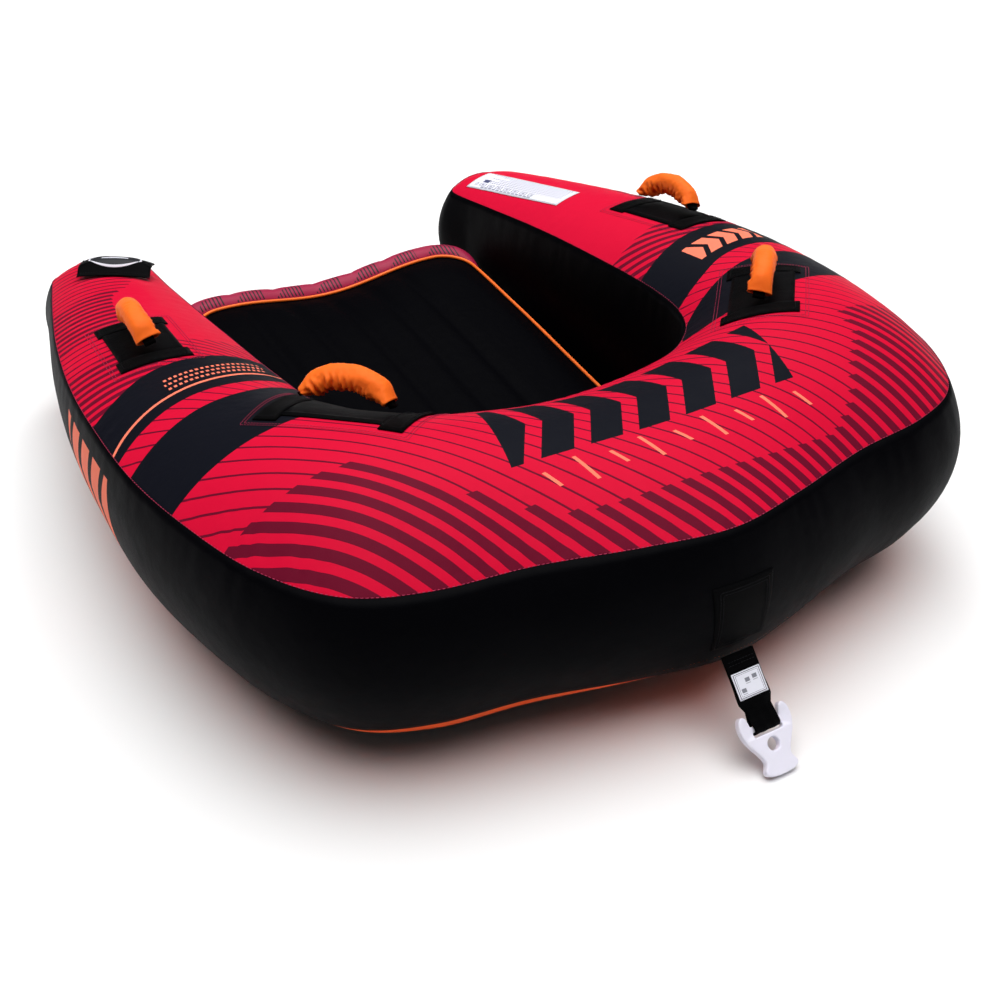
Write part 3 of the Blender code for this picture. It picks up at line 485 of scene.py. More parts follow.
def top_colour(tree):
    """The ring's top cover: red, with dark bands over the arms and stripes that thicken to the seam."""
    x, row_y, _ = place_fields(tree)
    y = row_y - SHIFT_Y
    left = x < 0.0
    right = left.inverse()

    left_rear = x.curve(LEFT_ONE_REAR)
    right_rear = x.curve(RIGHT_ONE_REAR)
    left_front = x.curve(LEFT_TWO_FRONT)
    right_front = x.curve(RIGHT_TWO_FRONT)
    band = left & (((y < left_rear) & (y > x.curve(LEFT_ONE_FRONT)))
                   | ((y < x.curve(LEFT_TWO_REAR)) & (y > left_front)))
    band = band | (right & (((y < right_rear) & (y > x.curve(RIGHT_ONE_FRONT)))
                            | ((y < x.curve(RIGHT_TWO_REAR)) & (y > right_front))))
    band = band & (x.size() > 0.29)

    sine, cosine = math.sin(STRIPE_ANGLE), math.cos(STRIPE_ANGLE)
    along = x * cosine - y * sine
    place = (x * sine + y * cosine + along * along * 0.045) / STRIPE_PITCH
    stripe_at = (place.floor() + 0.5) * STRIPE_PITCH
    thick = (y < stripe_at.curve(THICK_FROM))
    front_stripes = stripe(place, thick * 0.42 + 0.13)
    rear_of_front = (left & (y > left_rear)) | (right & (y > right_rear))

    slope = (y + x * 0.20) / 0.0235
    reach = ((slope.floor() + 0.5) * 0.0235 + 0.12).curve(STRIPES_END)
    heavy = y.within(0.24, 0.46) | y.within(-0.1, 0.12)
    left_stripes = left & (x < reach) & stripe(slope, heavy * 0.30 + 0.24)
    fine = (y + x * 0.85) / 0.024
    left_stripes = left_stripes | (left & (y < 0.105) & (x > -0.60) & stripe(fine, Field(tree, 0.30)))
    slant = (y + x * 0.42) / 0.0255
    slant_end = (slant.floor() * 0.0255 - 0.222) * 0.38 + 0.052
    right_stripes = right & (y < slant_end) & (x < 0.62) & stripe(slant, Field(tree, 0.50))
    outer = (y - x * 0.20) / 0.0235
    right_stripes = right_stripes | (right & (x > 0.625) & stripe(outer, heavy * 0.30 + 0.24))
    rear_stripes = rear_of_front & (left_stripes | right_stripes)
    stripes = (rear_of_front.inverse() & front_stripes) | rear_stripes

    mark_v = (y + 0.574) / 0.094
    mark = chevrons((x + 0.258 - mark_v * 0.022) / 0.556, mark_v, 6, 0.66)
    script_u = (x + 0.262) / 0.556
    short = ((script_u * 4.5).fraction() < 0.5)
    script_v = (y + 0.709) / (short * -0.011 + 0.026)
    script = ticks(script_u, script_v, 9, 0.055)
    line = left & ((y - x.curve(LEFT_LINE)).size() < 0.0034)
    rows = (y - x.curve(LEFT_LINE)) / 0.0175
    rows_inside = rows.within(0.85, 3.9) & x.within(-0.625, -0.425) & (rows.fraction() < 0.42)
    marks = left & rows_inside & ((x / 0.0105 + rows.floor() * 0.37).fraction() < 0.55)
    badge_v = (y + 0.205 - x * 0.20) / 0.034
    badge = chevrons((x - 0.490) / 0.190, badge_v, 4, 0.70) & right
    salmon = line | marks | badge | script

    colour = mixed(tree, stripes, RED, MAROON)
    colour = mixed(tree, band | mark, colour, INK)
    return mixed(tree, salmon, colour, SALMON)


def cover_finish():
    finish = Finish("printed_nylon", 0.58, 0.05)
    tree = finish.tree
    finish.colour(top_colour(tree), 0.09, 7.0)
    finish.relief((weave(tree, 0.0016), 0.00004), (cloud(tree, 45.0), 0.0009), (cloud(tree, 9.0), 0.0016))
    return finish.sheen(0.012, (1.0, 0.55, 0.65)).done()


def wall_finish():
    """Black nylon, with bold salmon arrowheads on both sides of the ring."""
    finish = Finish("black_wall_nylon", 0.52, 0.025)
    tree = finish.tree
    x, row_y, z = place_fields(tree)
    u = (row_y + 0.045) / 0.265
    v = (z - 0.262) / 0.075
    print_on = chevrons(u, v, 4, 0.68) & (x.size() > 0.60)
    finish.colour(mixed(tree, print_on, BLACK, SALMON), 0.25, 6.0)
    finish.relief((weave(tree, 0.0016), 0.00004), (cloud(tree, 30.0), 0.0010), (cloud(tree, 7.0), 0.0022))
    return finish.sheen(0.002, (0.6, 0.65, 1.0)).done()


def plain_fabric(name, colour, roughness, pitch, depth, gloss=0.12, crease=0.0006, sheen=0.015):
    finish = Finish(name, roughness, gloss)
    tree = finish.tree
    finish.colour(colour, 0.16, 14.0)
    finish.relief((weave(tree, pitch), depth), (cloud(tree, 60.0), crease))
    return finish.sheen(sheen).done()


def underside_finish():
    """Coated tarpaulin, orange at the seams, with painted shade over the flat belly: dark there with lighter
    blotches, so the floor under the tube stays a dark grey shadow.
    """
    finish = Finish("orange_underside", 0.42, 0.12)
    tree = finish.tree
    _, y, z = place_fields(tree)
    # Painted shade: below a height that falls towards the rear, the belly is coloured dark brown-grey with
    # lighter blotches, to keep the shadow under the tube dark and grey.
    belly_blotches = (cloud(tree, 38.0, 6.0) > 0.62) & (cloud(tree, 6.0) > 0.50)
    painted_shade_belly = mixed(tree, belly_blotches * 0.35, (0.030, 0.016, 0.014), (0.10, 0.05, 0.04))
    finish.colour(mixed(tree, z < y * -0.044 + 0.044, UNDERSIDE, painted_shade_belly), 0.18, 5.0)
    finish.relief((weave(tree, 0.0030), 0.00012), (cloud(tree, 25.0), 0.0009))
    return finish.done()


def seat_side_finish():
    """Crimson nylon with groups of short dark strokes square to the piping."""
    finish = Finish("printed_crimson_nylon", 0.52, 0.22)
    tree = finish.tree
    x, y, _ = place_fields(tree)
    _, down = sheet_fields(tree)
    at_rear = y > (SEAT_REAR + SHIFT_Y - 0.055)
    run = x * at_rear + y * at_rear.inverse()
    strokes = (run / 0.0088).fraction() < 0.40
    group = (run / 0.098 + 0.30).fraction()
    length = (group * 0.17 + 0.02) * (group < 0.74)
    inked = strokes & (down < length) & (down > 0.02)
    finish.colour(mixed(tree, inked, CRIMSON, STROKE), 0.12, 12.0)
    finish.relief((weave(tree, 0.0016), 0.00004), (cloud(tree, 40.0), 0.0010))
    return finish.sheen(0.015, (1.0, 0.5, 0.6)).done()


def webbing_finish(name, colour):
    finish = Finish(name, 0.58, 0.03)
    tree = finish.tree
    u, v = sheet_fields(tree)
    finish.colour(colour, 0.30, 40.0)
    herring = (u * 30.0).wave(1.0) * ((v * 90.0) + (u * 30.0).fraction()).wave(1.0)
    finish.relief((herring, 0.00018), (cloud(tree, 300.0), 0.0002))
    return finish.sheen(0.002).done()


def moulded_finish(name, colour, roughness, gloss=0.4, glow=0.0):
    finish = Finish(name, roughness, gloss)
    finish.colour(colour, 0.06, 25.0)
    finish.relief((cloud(finish.tree, 700.0, 2.0), 0.00006), (cloud(finish.tree, 40.0), 0.0002))
    finish.shader.inputs["Subsurface Weight"].default_value = glow
    finish.shader.inputs["Subsurface Radius"].default_value = (0.012, 0.012, 0.014)
    return finish.done(0.08)


def strap_label_finish():
    """White woven label: a double border and three plain blocks, each over a thin line."""
    finish = Finish("strap_label_print", 0.55, 0.25)
    tree = finish.tree
    u, v = sheet_fields(tree)
    edge = (u - 0.5).size().math("MAXIMUM", (v - 0.5).size())
    border = edge.within(0.435, 0.455) | edge.within(0.385, 0.395)
    pictures = border
    for down, aside in ((0.24, 0.72), (0.28, 0.46), (0.62, 0.24)):
        away = (v - aside).size()
        block = (u - down).within(0.0, 0.15) & (away < 0.080)
        line = (u - down).within(0.19, 0.22) & (away < 0.080)
        pictures = pictures | block * 0.75 | line * 0.5
    finish.colour(mixed(tree, pictures, WHITE, (0.030, 0.035, 0.060)), 0.05, 60.0)
    finish.relief((weave(tree, 0.0010), 0.00005))
    return finish.done()


def care_label_finish():
    """White label with rows of fine blue-grey marks and a few small boxes, none of them letters."""
    finish = Finish("care_label_print", 0.50, 0.25)
    tree = finish.tree
    u, v = sheet_fields(tree)
    row = u * 11.0
    words = (v * 40.0 + row.floor() * 0.61).fraction() < 0.66
    ragged = v < (row.floor() * 0.377).fraction() * 0.25 + 0.70
    text = (row.fraction() < 0.52) & words & ragged & v.within(0.04, 0.97) & u.within(0.30, 0.94)
    heading = u.within(0.07, 0.13) & ((v * 23.0).fraction() < 0.8) & v.within(0.30, 0.86)
    box_cell = (v * 11.0).fraction()
    boxes = u.within(0.15, 0.29) & box_cell.within(0.12, 0.88) & v.within(0.30, 0.95)
    hollow = u.within(0.17, 0.27) & box_cell.within(0.22, 0.78)
    sign = boxes & (hollow.inverse() | (u.within(0.19, 0.25) & box_cell.within(0.36, 0.64)))
    blot = u.within(0.34, 0.52) & v.within(0.84, 0.90)
    finish.colour(mixed(tree, (text | sign | heading) * 0.72 + blot, WHITE, (0.045, 0.055, 0.14)), 0.04, 20.0)
    finish.relief((weave(tree, 0.0012), 0.00003), (cloud(tree, 30.0), 0.0012))
    return finish.done()


def badge_finish():
    """A white oval line on black, round one straight dash."""
    finish = Finish("flap_badge_print", 0.50, 0.25)
    tree = finish.tree
    u, v = sheet_fields(tree)
    a = (u - 0.5) * 2.0
    b = (v - 0.5) * 2.0
    ring = b.size()
    line = ring.within(0.82, 0.97)
    dash = (b.size() < 0.12) & (a.size() < 0.50)
    finish.colour(mixed(tree, line | dash | (a.size() > 0.93), INK, WHITE), 0.05, 40.0)
    finish.relief((weave(tree, 0.0014), 0.00005))
    return finish.done()


# ---------------------------------------------------------------- mesh helpers
def new_piece(name, points, faces, material, body, smooth=True, sheet=None):
    """Makes a mesh piece that rides on a body. sheet gives each point its place across and along."""
    mesh = bpy.data.meshes.new(name)
    mesh.from_pydata([tuple(p) for p in points], [], faces)
    mesh.update()
    if sheet is not None:
        layer = mesh.uv_layers.new(name="sheet")
        for loop in mesh.loops:
            layer.data[loop.index].uv = sheet[loop.vertex_index]
    if smooth:
        mesh.shade_smooth()
    mesh.materials.append(material)
    made = bpy.data.objects.new(name, mesh)
    bpy.context.scene.collection.objects.link(made)
    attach(made, body)
    return made


def turn_faces_out(piece):
    work = bmesh.new()
    work.from_mesh(piece.data)
    bmesh.ops.recalc_face_normals(work, faces=work.faces)
    work.to_mesh(piece.data)
    work.free()
    return piece


def sharpen(piece, degrees=40.0):
    piece.data.set_sharp_from_angle(angle=math.radians(degrees))
    return piece


def grid_faces(columns, rows, closed=False):
    """Quads of a grid of points, column after column."""
    faces = []
    last = columns if closed else columns - 1
    for i in range(last):
        n = (i + 1) % columns
        for j in range(rows - 1):
            faces.append((i * rows + j, n * rows + j, n * rows + j + 1, i * rows + j + 1))
    return faces


def closed_sheet(name, columns, rows, place, material, body):
    """A closed sheet: place(u, v, side) gives its points, side 0 below and 1 above."""
    points = []
    sheet = []
    for side in (0, 1):
        for u in columns:
            for v in rows:
                points.append(place(u, v, side))
                sheet.append((u, v))
    count, width = len(columns), len(rows)
    half = count * width
    low = grid_faces(count, width)
    faces = [tuple(reversed(f)) for f in low] + [tuple(i + half for i in f) for f in low]
    rim = [i * width for i in range(count)]
    rim += [(count - 1) * width + j for j in range(1, width)]
    rim += [i * width + width - 1 for i in range(count - 2, -1, -1)]
    rim += [j for j in range(width - 2, 0, -1)]
    for a, b in zip(rim, rim[1:] + rim[:1]):
        faces.append((a, b, b + half, a + half))
    return turn_faces_out(new_piece(name, points, faces, material, body, sheet=sheet))


def even(count):
    return [k / count for k in range(count + 1)]


def even_with_edges(count, edge):
    """Even steps from 0 to 1, with two close ones at each end for a rounded edge."""
    inner = [edge + (1.0 - 2.0 * edge) * k / count for k in range(count + 1)]
    return [0.0, 0.35 * edge, *inner, 1.0 - 0.35 * edge, 1.0]


def tube_piece(name, rings, material, body, closed_loop=False):
    """A tube through rings of points."""
    sides = len(rings[0])
    points = [p for ring in rings for p in ring]
    sheet = [(s / sides, r / len(rings)) for r in range(len(rings)) for s in range(sides)]
    faces = []
    count = len(rings)
    for r in range(count if closed_loop else count - 1):
        for s in range(sides):
            n = (s + 1) % sides
            far = (r + 1) % count * sides
            faces.append((r * sides + s, r * sides + n, far + n, far + s))
    if not closed_loop:
        faces.append(tuple(range(sides)))
        faces.append(tuple(range((count - 1) * sides, count * sides)))
    return turn_faces_out(new_piece(name, points, faces, material, body, sheet=sheet))


def resampled(line, step, closed=False):
    """Points a fixed step apart along a line of points."""
    line = [Vector(p) for p in line]
    if closed:
        line.append(line[0])
    marks = [0.0]
    for a, b in zip(line, line[1:]):
        marks.append(marks[-1] + (b - a).length)
    count = max(2, round(marks[-1] / step))
    made = []
    k = 0
    for n in range(count if closed else count + 1):
        target = marks[-1] * n / count
        while k < len(line) - 2 and marks[k + 1] < target:
            k += 1
        share = (target - marks[k]) / max(marks[k + 1] - marks[k], 1e-9)
        made.append(line[k].lerp(line[k + 1], share))
    return made


def stitches(name, lines, out_at, material, body, pitch=0.0055, length=0.0038, width=0.0011):
    """Short raised threads along each line of points. out_at(point) gives the way out of the cloth."""
    points = []
    faces = []
    for line in lines:
        spots = resampled(line, pitch)
        for a, b in zip(spots, spots[1:]):
            along = (b - a).normalized()
            out = out_at(a).normalized()
            side = along.cross(out).normalized()
            middle = (a + b) * 0.5
            first = len(points)
            for step, lift, half in ((-0.5, 0.0, 0.7), (-0.25, 0.8, 1.0), (0.25, 0.8, 1.0), (0.5, 0.0, 0.7)):
                centre = middle + along * length * step
                points.append(centre + side * width * 0.5 * half + out * width * (lift - 0.3))
                points.append(centre + out * width * (lift + 0.2))
                points.append(centre - side * width * 0.5 * half + out * width * (lift - 0.3))
            for k in range(3):
                at = first + 3 * k
                faces.append((at, at + 3, at + 4, at + 1))
                faces.append((at + 1, at + 4, at + 5, at + 2))
                faces.append((at + 2, at + 5, at + 3, at))
            faces.append((first, first + 1, first + 2))
            faces.append((first + 11, first + 10, first + 9))
    return turn_faces_out(new_piece(name, points, faces, material, body))


# ---------------------------------------------------------------- the inflated ring and seat
def between(a, b, c, d, f):
    """A smooth curve's value a share f of the way from b to c, with a before them and d after."""
    bend = 2 * a - 5 * b + 4 * c - d
    twist = 3 * b - a - 3 * c + d
    return 0.5 * (2 * b + (c - a) * f + bend * f**2 + twist * f**3)


def outline(points, key):
    """A smooth curve through the right half's points, mirrored past the nose."""

    def point(k):
        if k < 0:
            return Vector((-points[-k][0], points[-k][1]))
        return Vector(points[min(k, LAST_KEY)])

    k = min(int(key), LAST_KEY - 1)
    return between(*(point(k + step) for step in (-1, 0, 1, 2)), key - k)


def seam_height(y):
    return SEAM_HEIGHT - SEAM_DROP * (max(0.0, y - SEAM_DROP_START) / SEAM_DROP_RUN) ** 1.5


def crown_at(key):
    """The crown's height, on a smooth curve through its values."""

    def value(k):
        return CROWN[min(abs(k), LAST_KEY)]

    k = min(int(key), LAST_KEY - 1)
    return between(*(value(k + step) for step in (-1, 0, 1, 2)), key - k)


def ring_station(signed_key):
    """The top and bottom lines across the tube at one place along the ring, outer seam first."""
    key = abs(signed_key)
    side = -1.0 if signed_key < 0 else 1.0
    outer = outline(OUTER_SEAM, key)
    inner = outline(INNER_SEAM, key)
    end = max(0.0, (key - (LAST_KEY - END_KEYS)) / END_KEYS)
    outer_tuck = TUCK_ARM + (TUCK_NOSE - TUCK_ARM) * (1.0 - smoothstep(0.0, 7.0, key))
    outer_tuck += (TUCK_INNER - outer_tuck) * end
    low_seam = LOW_SEAM_ARM + LOW_SEAM_RISE * (1.0 - smoothstep(0.0, 8.0, key))
    low_inner_seam = low_seam - LOW_INNER * (1.0 - end)
    sag = INNER_SAG * smoothstep(5.0, 9.0, key) * (1.0 - end)
    painted_shade_belly = NOSE_LIFT * (1.0 - smoothstep(0.0, NOSE_KEYS, key)) + END_LIFT * end**1.5
    across = (inner - outer).normalized()
    low_outer = outer + across * outer_tuck
    low_inner = inner - across * TUCK_INNER
    top = []
    low = []
    for step in range(ACROSS + 1):
        share = 0.5 - 0.5 * math.cos(math.pi * step / ACROSS)
        q = abs(2.0 * share - 1.0)
        spot = outer.lerp(inner, share)
        z = seam_height(spot.y) - sag * share + crown_at(key) * (1.0 - q**CROWN_POWER)
        top.append(Vector((side * spot.x, spot.y + SHIFT_Y, z)))
        spot = low_outer.lerp(low_inner, share)
        z = low_seam + (low_inner_seam - low_seam) * share
        z += (painted_shade_belly - z) * (1.0 - q**BELLY_POWER)
        low.append(Vector((side * spot.x, spot.y + SHIFT_Y, z)))
    return top, low


def ring_bulge(point, share):
    """Sideways swell of the ring's wall below the given point of its top seam, and no rise."""
    x = abs(point.x)
    y = point.y - SHIFT_Y
    swell = BULGE_NOSE + (BULGE_FRONT - BULGE_NOSE) * smoothstep(0.0, 0.30, x)
    swell += (BULGE_ARM - swell) * smoothstep(-0.45, 0.0, y)
    inside = (1.0 - smoothstep(0.40, 0.43, x)) * smoothstep(-0.55, -0.45, y)
    swell += (BULGE_INNER - swell) * inside
    swell += (BULGE_END - swell) * smoothstep(0.62, 0.72, y)
    return 4.0 * swell * share * (1.0 - share), 0.0


def seat_edge_height(x, y):
    rise = smoothstep(SEAT_FRONT, SEAT_REAR, y)
    wave = SEAT_WAVE * math.cos(2.0 * math.pi * x / (1.5 * SEAT_HALF)) * smoothstep(0.35, SEAT_REAR, y)
    return SEAT_LOW + (SEAT_HIGH - SEAT_LOW) * rise - wave


def channel(x):
    """How deep the sewn channels pull the seat's deck in at x, from 0 to 1."""
    return max(math.exp(-(((x - c) / CHANNEL_WIDTH) ** 2)) for c in CHANNELS)


def valley(x):
    """How deep the valley is between two lobes of the seat's rear edge, sharpest at each channel."""
    reach = min(1.0, min(abs(x - c) for c in CHANNELS) / 0.045)
    return 1.0 - math.sqrt(1.0 - (1.0 - reach) ** 2)


def seat_column(share):
    x = share * SEAT_HALF

    def rounding(radius):
        c = min(1.0, max(0.0, (abs(x) - (SEAT_HALF - radius)) / radius))
        return radius * (1.0 - math.sqrt(1.0 - c * c))

    front = SEAT_FRONT + rounding(SEAT_FRONT_RADIUS)
    rear = SEAT_REAR - rounding(SEAT_REAR_RADIUS)
    top = []
    low = []
    for step in range(SEAT_ROWS + 1):
        along = 0.5 - 0.5 * math.cos(math.pi * step / SEAT_ROWS)
        y = front + (rear - front) * along
        dome = (1.0 - share**4) * (1.0 - (2.0 * along - 1.0) ** 4)
        swell = PILLOW * (1.0 - channel(x)) - CHANNEL_DEPTH * channel(x)
        swell *= min(1.0, dome * 2.5)
        top.append(Vector((x, y + SHIFT_Y, seat_edge_height(x, y) + SEAT_CROWN * dome + swell)))
        low.append(Vector((x, y + SHIFT_Y, SEAT_BASE)))
    return top, low


def seat_bulge(point, share):
    """Sideways swell and rise of the seat's side panel; the channels pull its rear into scallops."""
    rear = smoothstep(SEAT_REAR - 1.2 * SEAT_REAR_RADIUS, SEAT_REAR, point.y - SHIFT_Y)
    swell = SEAT_SIDE_BULGE + (SEAT_REAR_BULGE - SEAT_SIDE_BULGE) * rear
    roundness = math.sqrt(1.0 - (1.0 - 2.0 * share) ** 2)
    pull = 1.0 - 0.09 * rear * valley(point.x)
    return swell * roundness * pull, SEAT_REAR_RISE * rear * roundness * (1.0 - share) * pull


def wall_columns(tops, lows, bulge, rows):
    """Columns of points down the wall that joins the rims of two grids, going once round."""
    last = len(tops) - 1
    width = len(tops[0]) - 1
    rim = [(i, 0) for i in range(last + 1)]
    rim += [(last, j) for j in range(1, width + 1)]
    rim += [(i, width) for i in range(last - 1, -1, -1)]
    rim += [(0, j) for j in range(width - 1, 0, -1)]
    count = len(rim)
    spread = 3
    columns = []
    for k, (i, j) in enumerate(rim):
        before = rim[k - spread]
        after = rim[(k + spread) % count]
        along = tops[after[0]][after[1]] - tops[before[0]][before[1]]
        outward = Vector((along.y, -along.x, 0.0)).normalized()
        high = tops[i][j]
        low = lows[i][j]
        column = []
        for row in range(rows + 1):
            share = row / rows
            swell, rise = bulge(high, share)
            column.append(high.lerp(low, share) + outward * swell + Vector((0.0, 0.0, rise)))
        columns.append(column)
    return columns


def panel(name, lines, material, closed=False):
    """One cover panel as a thin shell, faces out, its thickness going inward."""
    points = [p for line in lines for p in line]
    faces = grid_faces(len(lines), len(lines[0]), closed)
    rows = len(lines[0]) - 1
    sheet = [(i / len(lines), j / rows) for i in range(len(lines)) for j in range(rows + 1)]
    made = new_piece(name, points, faces, material, "tube", sheet=sheet)
    modifier = made.modifiers.new("thickness", "SOLIDIFY")
    modifier.thickness = COVER_THICKNESS
    modifier.offset = -1.0
    return made


def panel_normals(lines, closed):
    mesh = bpy.data.meshes.new("normals")
    points = [tuple(p) for line in lines for p in line]
    faces = grid_faces(len(lines), len(lines[0]), closed)
    mesh.from_pydata(points, [], faces)
    mesh.update()
    normals = np.array([n.vector for n in mesh.vertex_normals])
    bpy.data.meshes.remove(mesh)
    return normals.reshape(len(lines), len(lines[0]), 3)


def puckered(lines, closed, depth, length, seed):
    """Gathers a panel into small puckers beside its long seams, fading at the seam and inland."""
    grid = np.array([[tuple(p) for p in line] for line in lines])
    normals = panel_normals(lines, closed)
    steps = np.linalg.norm(np.diff(grid, axis=1), axis=2)
    down = np.concatenate([np.zeros((len(lines), 1)), np.cumsum(steps, axis=1)], axis=1)
    total = down[:, -1:]
    run = np.concatenate([[0.0], np.cumsum(np.linalg.norm(np.diff(grid[:, 0], axis=0), axis=1))])
    waves = []
    for place in run:
        drift = noise.noise(Vector((place * 9.0, seed, 0.0)))
        size = 0.55 + 0.9 * noise.noise(Vector((place * 4.0, seed + 5.0, 1.0)))
        waves.append(math.sin(2.0 * math.pi * (place / length + 1.5 * drift)) * max(0.0, size))
    waves = np.array(waves)[:, None]
    peak = 0.020

    def profile(distance):
        return distance / peak * np.exp(1.0 - distance / peak)

    lift = depth * waves * (profile(down) + profile(total - down))
    return [[Vector(p) for p in line] for line in grid + normals * lift[..., None]]


def build_ring():
    steps = LAST_KEY * STEPS_PER_KEY
    stations = [ring_station(i / STEPS_PER_KEY) for i in range(-steps, steps + 1)]
    tops = [top for top, _ in stations]
    lows = [low for _, low in stations]
    columns = wall_columns(tops, lows, ring_bulge, WALL_ROWS)
    tops = puckered(tops, False, 0.0008, 0.041, 3.0)
    walls = puckered(columns, True, 0.0008, 0.052, 8.0)
    lows = [list(reversed(line)) for line in lows]
    top = panel("ring_top_cover", tops, cover_finish())
    wall = panel("ring_side_wall", walls, wall_finish(), closed=True)
    low = panel("ring_underside", lows, underside_finish())
    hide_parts("cover_top_panel")
    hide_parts("cover_side_wall")
    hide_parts("cover_bottom_panel")
    return tops, walls


def surface_tree(*grids):
    points = []
    faces = []
    for lines, closed in grids:
        first = len(points)
        points += [p for line in lines for p in line]
        faces += [tuple(i + first for i in f) for f in grid_faces(len(lines), len(lines[0]), closed)]
    return BVHTree.FromPolygons(points, faces)


def build_seat():
    shares = [math.sin(0.5 * math.pi * (2.0 * k / SEAT_COLUMNS - 1.0)) for k in range(SEAT_COLUMNS + 1)]
    stations = [seat_column(share) for share in shares]
    tops = [top for top, _ in stations]
    lows = [list(low) for _, low in stations]
    columns = wall_columns(tops, lows, seat_bulge, 16)
    deck_finish = plain_fabric("black_deck_nylon", BLACK, 0.60, 0.0018, 0.00006, 0.015, 0.0012, 0.001)
    deck = panel("seat_deck_cover", tops, deck_finish)
    side = panel("seat_side_cover", columns, seat_side_finish(), closed=True)
    under = panel("seat_underside", [list(reversed(line)) for line in lows], underside_finish())
    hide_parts("seat_deck")
    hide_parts("seat_side_panel")
    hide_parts("seat_bottom_panel")
    return columns


def tube_along(line, radius, sides, closed=True):
    """Rings of points round a line."""
    rings = []
    count = len(line)
    for k, centre in enumerate(line):
        ahead = line[(k + 1) % count] if closed or k < count - 1 else line[k]
        behind = line[k - 1] if closed or k > 0 else line[k]
        along = (ahead - behind).normalized()
        side = along.cross(Vector((0.0, 0.0, 1.0))).normalized()
        up = side.cross(along)
        ring = []
        for s in range(sides):
            turn = 2.0 * math.pi * s / sides
            ring.append(centre + (side * math.cos(turn) + up * math.sin(turn)) * radius)
        rings.append(ring)
    return rings


def build_piping(columns):
    lift = Vector((0.0, 0.0, PIPING_RADIUS + 0.0006))
    line = resampled([column[0] + lift for column in columns], 0.012, closed=True)
    finish = plain_fabric("orange_piping_nylon", ORANGE, 0.5, 0.0016, 0.00006, 0.3, 0.0004)
    piping = tube_piece("deck_piping", tube_along(line, PIPING_RADIUS, 12), finish, "tube", closed_loop=True)
    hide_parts("seat_piping")


# ---------------------------------------------------------------- handles
class Patch:
    """A place on the cover, with level axes, that points are dropped from."""

    def __init__(self, surface, centre, along):
        self.surface = surface
        self.centre = Vector((centre.x, centre.y))
        self.along = Vector((along.x, along.y)).normalized()
        self.across = Vector((self.along.y, -self.along.x))

    def at(self, across, along, lift=0.0):
        spot = self.centre + self.across * across + self.along * along
        hit, normal, _, _ = self.surface.ray_cast(Vector((spot.x, spot.y, 1.0)), Vector((0.0, 0.0, -1.0)))
        return hit + normal * lift

    def out(self, across=0.0, along=0.0):
        return (self.at(across, along, 0.01) - self.at(across, along)).normalized()


def soft_edge(u, v, rim):
    """0 at a sheet's edge and 1 further in than the rim, rounded between."""
    inland = min(u, 1.0 - u, v, 1.0 - v) / rim
    return math.sqrt(max(0.0, 1.0 - (1.0 - min(1.0, inland)) ** 2))


def build_handle(name, surface, finishes):
    joint = joint_named(f"{name}_grip_swing")
    along = Vector(joint["axis"])
    pad_low, pad_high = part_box(f"knuckle_pad_{name}")
    patch = Patch(surface, (pad_low + pad_high) * 0.5, along)
    half = strip_span(patch, name)
    for end, sign in (("front", -1.0), ("rear", 1.0)):
        middle = sign * (half - 0.5 * STRIP_WIDTH)
        length = STRIP_LENGTH[name]

        def strip_place(u, v, side, middle=middle, length=length):
            across = (u - 0.5) * length
            out = 0.0012 + 0.0032 * side * (0.35 + 0.65 * soft_edge(u, v, 0.06))
            ripple = 0.0003 * math.sin(across * 95.0 + middle * 40.0)
            return patch.at(across, middle + (v - 0.5) * STRIP_WIDTH, out + ripple)

        strip = closed_sheet(f"webbing_strip_{name}_{end}", even_with_edges(26, 0.02),
                             even_with_edges(10, 0.05), strip_place, finishes["webbing"], "tube")
        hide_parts(f"anchor_strip_{name}_{end}")

    pad_length = 2.0 * half - 2.0 * STRIP_WIDTH + 0.004

    def pad_place(u, v, side):
        across = (u - 0.5) * PAD_WIDTH
        bead = math.exp(-(((abs(u - 0.5) - 0.445) / 0.030) ** 2))
        swell = 0.0024 + 0.0018 * (1.0 - (2.0 * u - 1.0) ** 4) * (1.0 - (2.0 * v - 1.0) ** 6) + 0.0016 * bead
        lift = swell * side * (0.3 + 0.7 * soft_edge(u, v, 0.05))
        return patch.at(across, (v - 0.5) * pad_length, 0.0010 + lift)

    pad = closed_sheet(f"foam_pad_{name}", even_with_edges(34, 0.02), even_with_edges(26, 0.03), pad_place,
                       finishes["foam"], "tube")
    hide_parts(f"knuckle_pad_{name}")
    build_handle_stitching(name, patch, half, finishes)
    build_grip(name, joint, finishes)


def strip_span(patch, name):
    """Half the handle's length, from its strips' far corners."""
    ends = []
    for end in ("front", "rear"):
        node = frame["nodes"][f"anchor_strip_{name}_{end}"]
        for vert in node.data.vertices:
            ends.append((vert.co.xy - patch.centre).dot(patch.along))
    return 0.5 * (max(ends) - min(ends))


def build_handle_stitching(name, patch, half, finishes):
    """Two lines of thread round the handle on the cover, and boxes of it on the strips."""
    lines = []
    for gap in (0.010, 0.0155):
        a = 0.5 * STRIP_LENGTH[name] + gap
        b = half + gap
        lines.append(patch_loop(patch, rectangle(a, b), 0.0006))
    stitches(f"handle_thread_{name}", lines, lambda p: patch.out(), finishes["thread"], "tube")
    boxes = []
    reach = 0.5 * STRIP_LENGTH[name] - 0.008
    for sign in (-1.0, 1.0):
        near = sign * (half - STRIP_WIDTH + 0.006)
        far = sign * (half - 0.006)
        boxes.append(patch_loop(patch, [(-reach, near), (reach, near), (reach, far), (-reach, far)], 0.0052))
    stitches(f"strip_thread_{name}", boxes, lambda p: patch.out(), finishes["black_thread"], "tube")


def rectangle(a, b):
    return [(-a, -b), (a, -b), (a, b), (-a, b)]


def patch_loop(patch, corners, lift):
    line = []
    for (a, b), (c, d) in zip(corners, corners[1:] + corners[:1]):
        for k in range(14):
            share = k / 14
            line.append(patch.at(a + (c - a) * share, b + (d - b) * share, lift))
    line.append(line[0])
    return line


